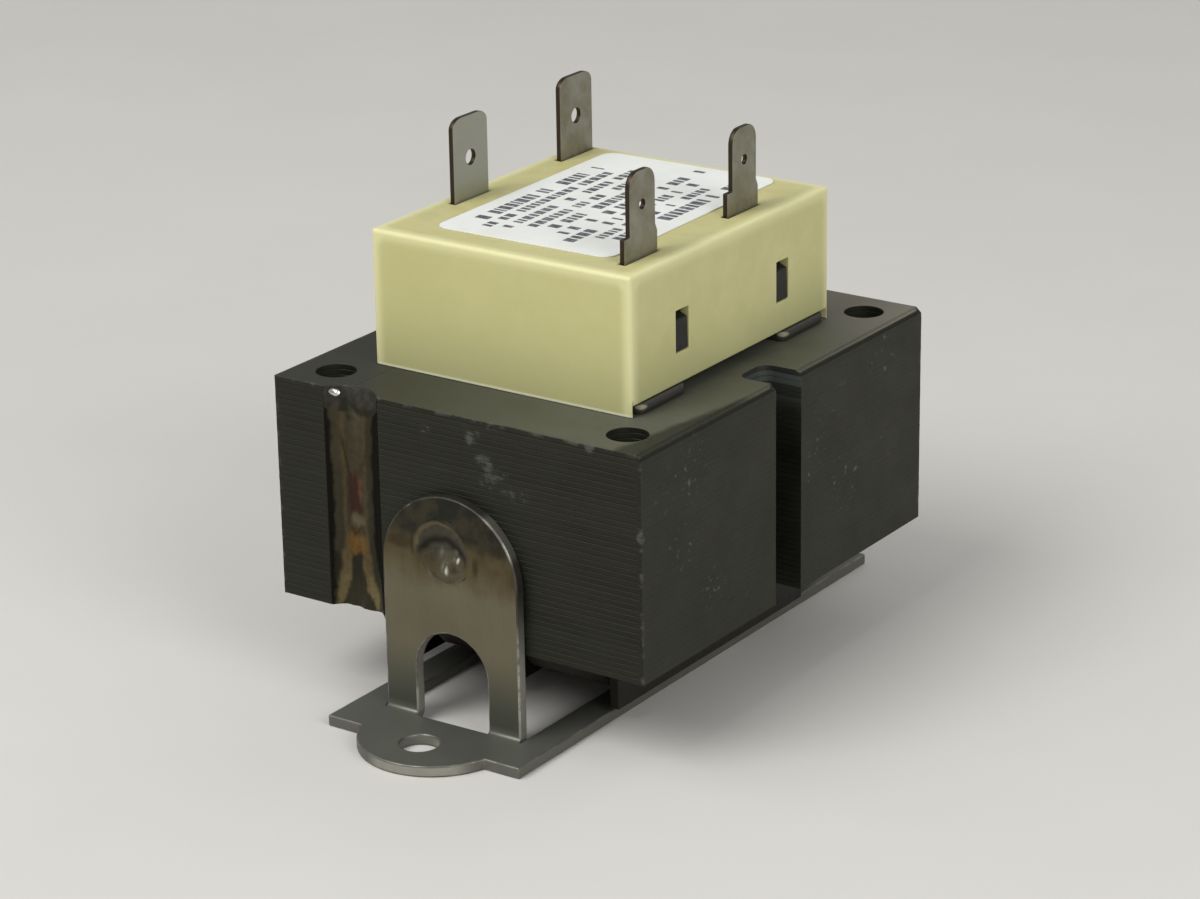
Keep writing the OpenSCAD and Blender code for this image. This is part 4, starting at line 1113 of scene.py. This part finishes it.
ink = Finish("print_ink", Roughness=0.6)
ink.paint(ink.noise(2600, detail=4).spread(0.4, 0.75), INK, INK_FADED)
draw = random.Random(5)
bars = bmesh.new()
row_pitch = (LABEL_W - 2 * PRINT_MARGIN) / PRINT_ROWS
middle = Matrix.Translation((*((label_low + label_high) / 2).xy, label_high.z + PRINT_T / 2))
for row in range(PRINT_ROWS):
    x = -LABEL_W / 2 + PRINT_MARGIN + (row + 0.5) * row_pitch
    y = -LABEL_L / 2 + PRINT_MARGIN + draw.uniform(0, 5) * MM
    last = LABEL_L / 2 - PRINT_MARGIN - draw.uniform(0, 6) * MM
    tall = draw.choice((1.2, 1.4, 1.7)) * MM
    while y < last:
        long = draw.uniform(0.35, 1.1) * MM
        place = Matrix.Translation((x, y + long / 2, 0)) @ Matrix.Diagonal((tall, long, PRINT_T, 1))
        bmesh.ops.create_cube(bars, size=1, matrix=middle @ Matrix.Rotation(LABEL_TURN, 4, "Z") @ place)
        y += long + draw.choice((1, 1, 1, 1, 1, 4, 8)) * PRINT_GAP
print_mesh = bpy.data.meshes.new("label_print")
bars.to_mesh(print_mesh)
bars.free()
add_piece("label_print", print_mesh, [ink], "label_paper")


# Studio. The part stands on a plain pale floor under soft light, seen from where the photograph was taken.
CAMERA_AT = Vector((219.4, -317.6, 166.0)) * MM
CAMERA_AZIMUTH = math.radians(34.754)
CAMERA_ELEVATION = math.radians(20.295)
CAMERA_ROLL = math.radians(-0.945)
CAMERA_LENS = 110.47
FLOOR_HALF = 4.0
SKY = (0.86, 0.87, 0.88, 1)
SKY_STRENGTH = 0.42
# Lamps: place and width in metres, and power in watts
LAMPS = [
    ("key", (-0.45, -0.25, 0.75), 0.45, 1.0), ("front", (-0.20, -0.65, 0.75), 0.6, 7.2),
    ("side", (0.75, -0.25, 0.45), 0.6, 3.8), ("back", (0.15, 0.65, 0.70), 0.6, 0.6),
]
LAMPS_AIM = Vector((0, 0, 0.03))

floor_mesh = bpy.data.meshes.new("floor")
corners = [(x * FLOOR_HALF, y * FLOOR_HALF, 0) for x, y in ((-1, -1), (1, -1), (1, 1), (-1, 1))]
floor_mesh.from_pydata(corners, [], [(0, 1, 2, 3)])
floor = bpy.data.objects.new("floor", floor_mesh)
bpy.context.scene.collection.objects.link(floor)
pale = Finish("pale_floor", Roughness=0.7, Specular_IOR_Level=0.3)
pale.paint(pale.noise(30), (0.56, 0.545, 0.51), (0.60, 0.585, 0.55))
floor_mesh.materials.append(pale.material)

world = bpy.data.worlds.new("studio")
world.use_nodes = True
sky = world.node_tree.nodes["Background"]
sky.inputs["Color"].default_value = SKY
sky.inputs["Strength"].default_value = SKY_STRENGTH
bpy.context.scene.world = world
for name, at, size, power in LAMPS:
    lamp = bpy.data.lights.new(name, "AREA")
    lamp.shape = "DISK"
    lamp.size = size
    lamp.energy = power
    holder = bpy.data.objects.new(name, lamp)
    holder.location = at
    holder.rotation_euler = (LAMPS_AIM - Vector(at)).to_track_quat("-Z", "Y").to_euler()
    bpy.context.scene.collection.objects.link(holder)

camera_data = bpy.data.cameras.new("camera")
camera_data.sensor_fit = "HORIZONTAL"
camera_data.sensor_width = 36
camera_data.lens = CAMERA_LENS
camera_data.clip_start = 0.01
camera = bpy.data.objects.new("camera", camera_data)
turn = Matrix.Rotation(CAMERA_AZIMUTH, 4, "Z") @ Matrix.Rotation(math.pi / 2 - CAMERA_ELEVATION, 4, "X")
camera.matrix_world = Matrix.Translation(CAMERA_AT) @ turn @ Matrix.Rotation(CAMERA_ROLL, 4, "Z")
bpy.context.scene.collection.objects.link(camera)
bpy.context.scene.camera = camera
bpy.context.scene.view_settings.view_transform = "Standard"
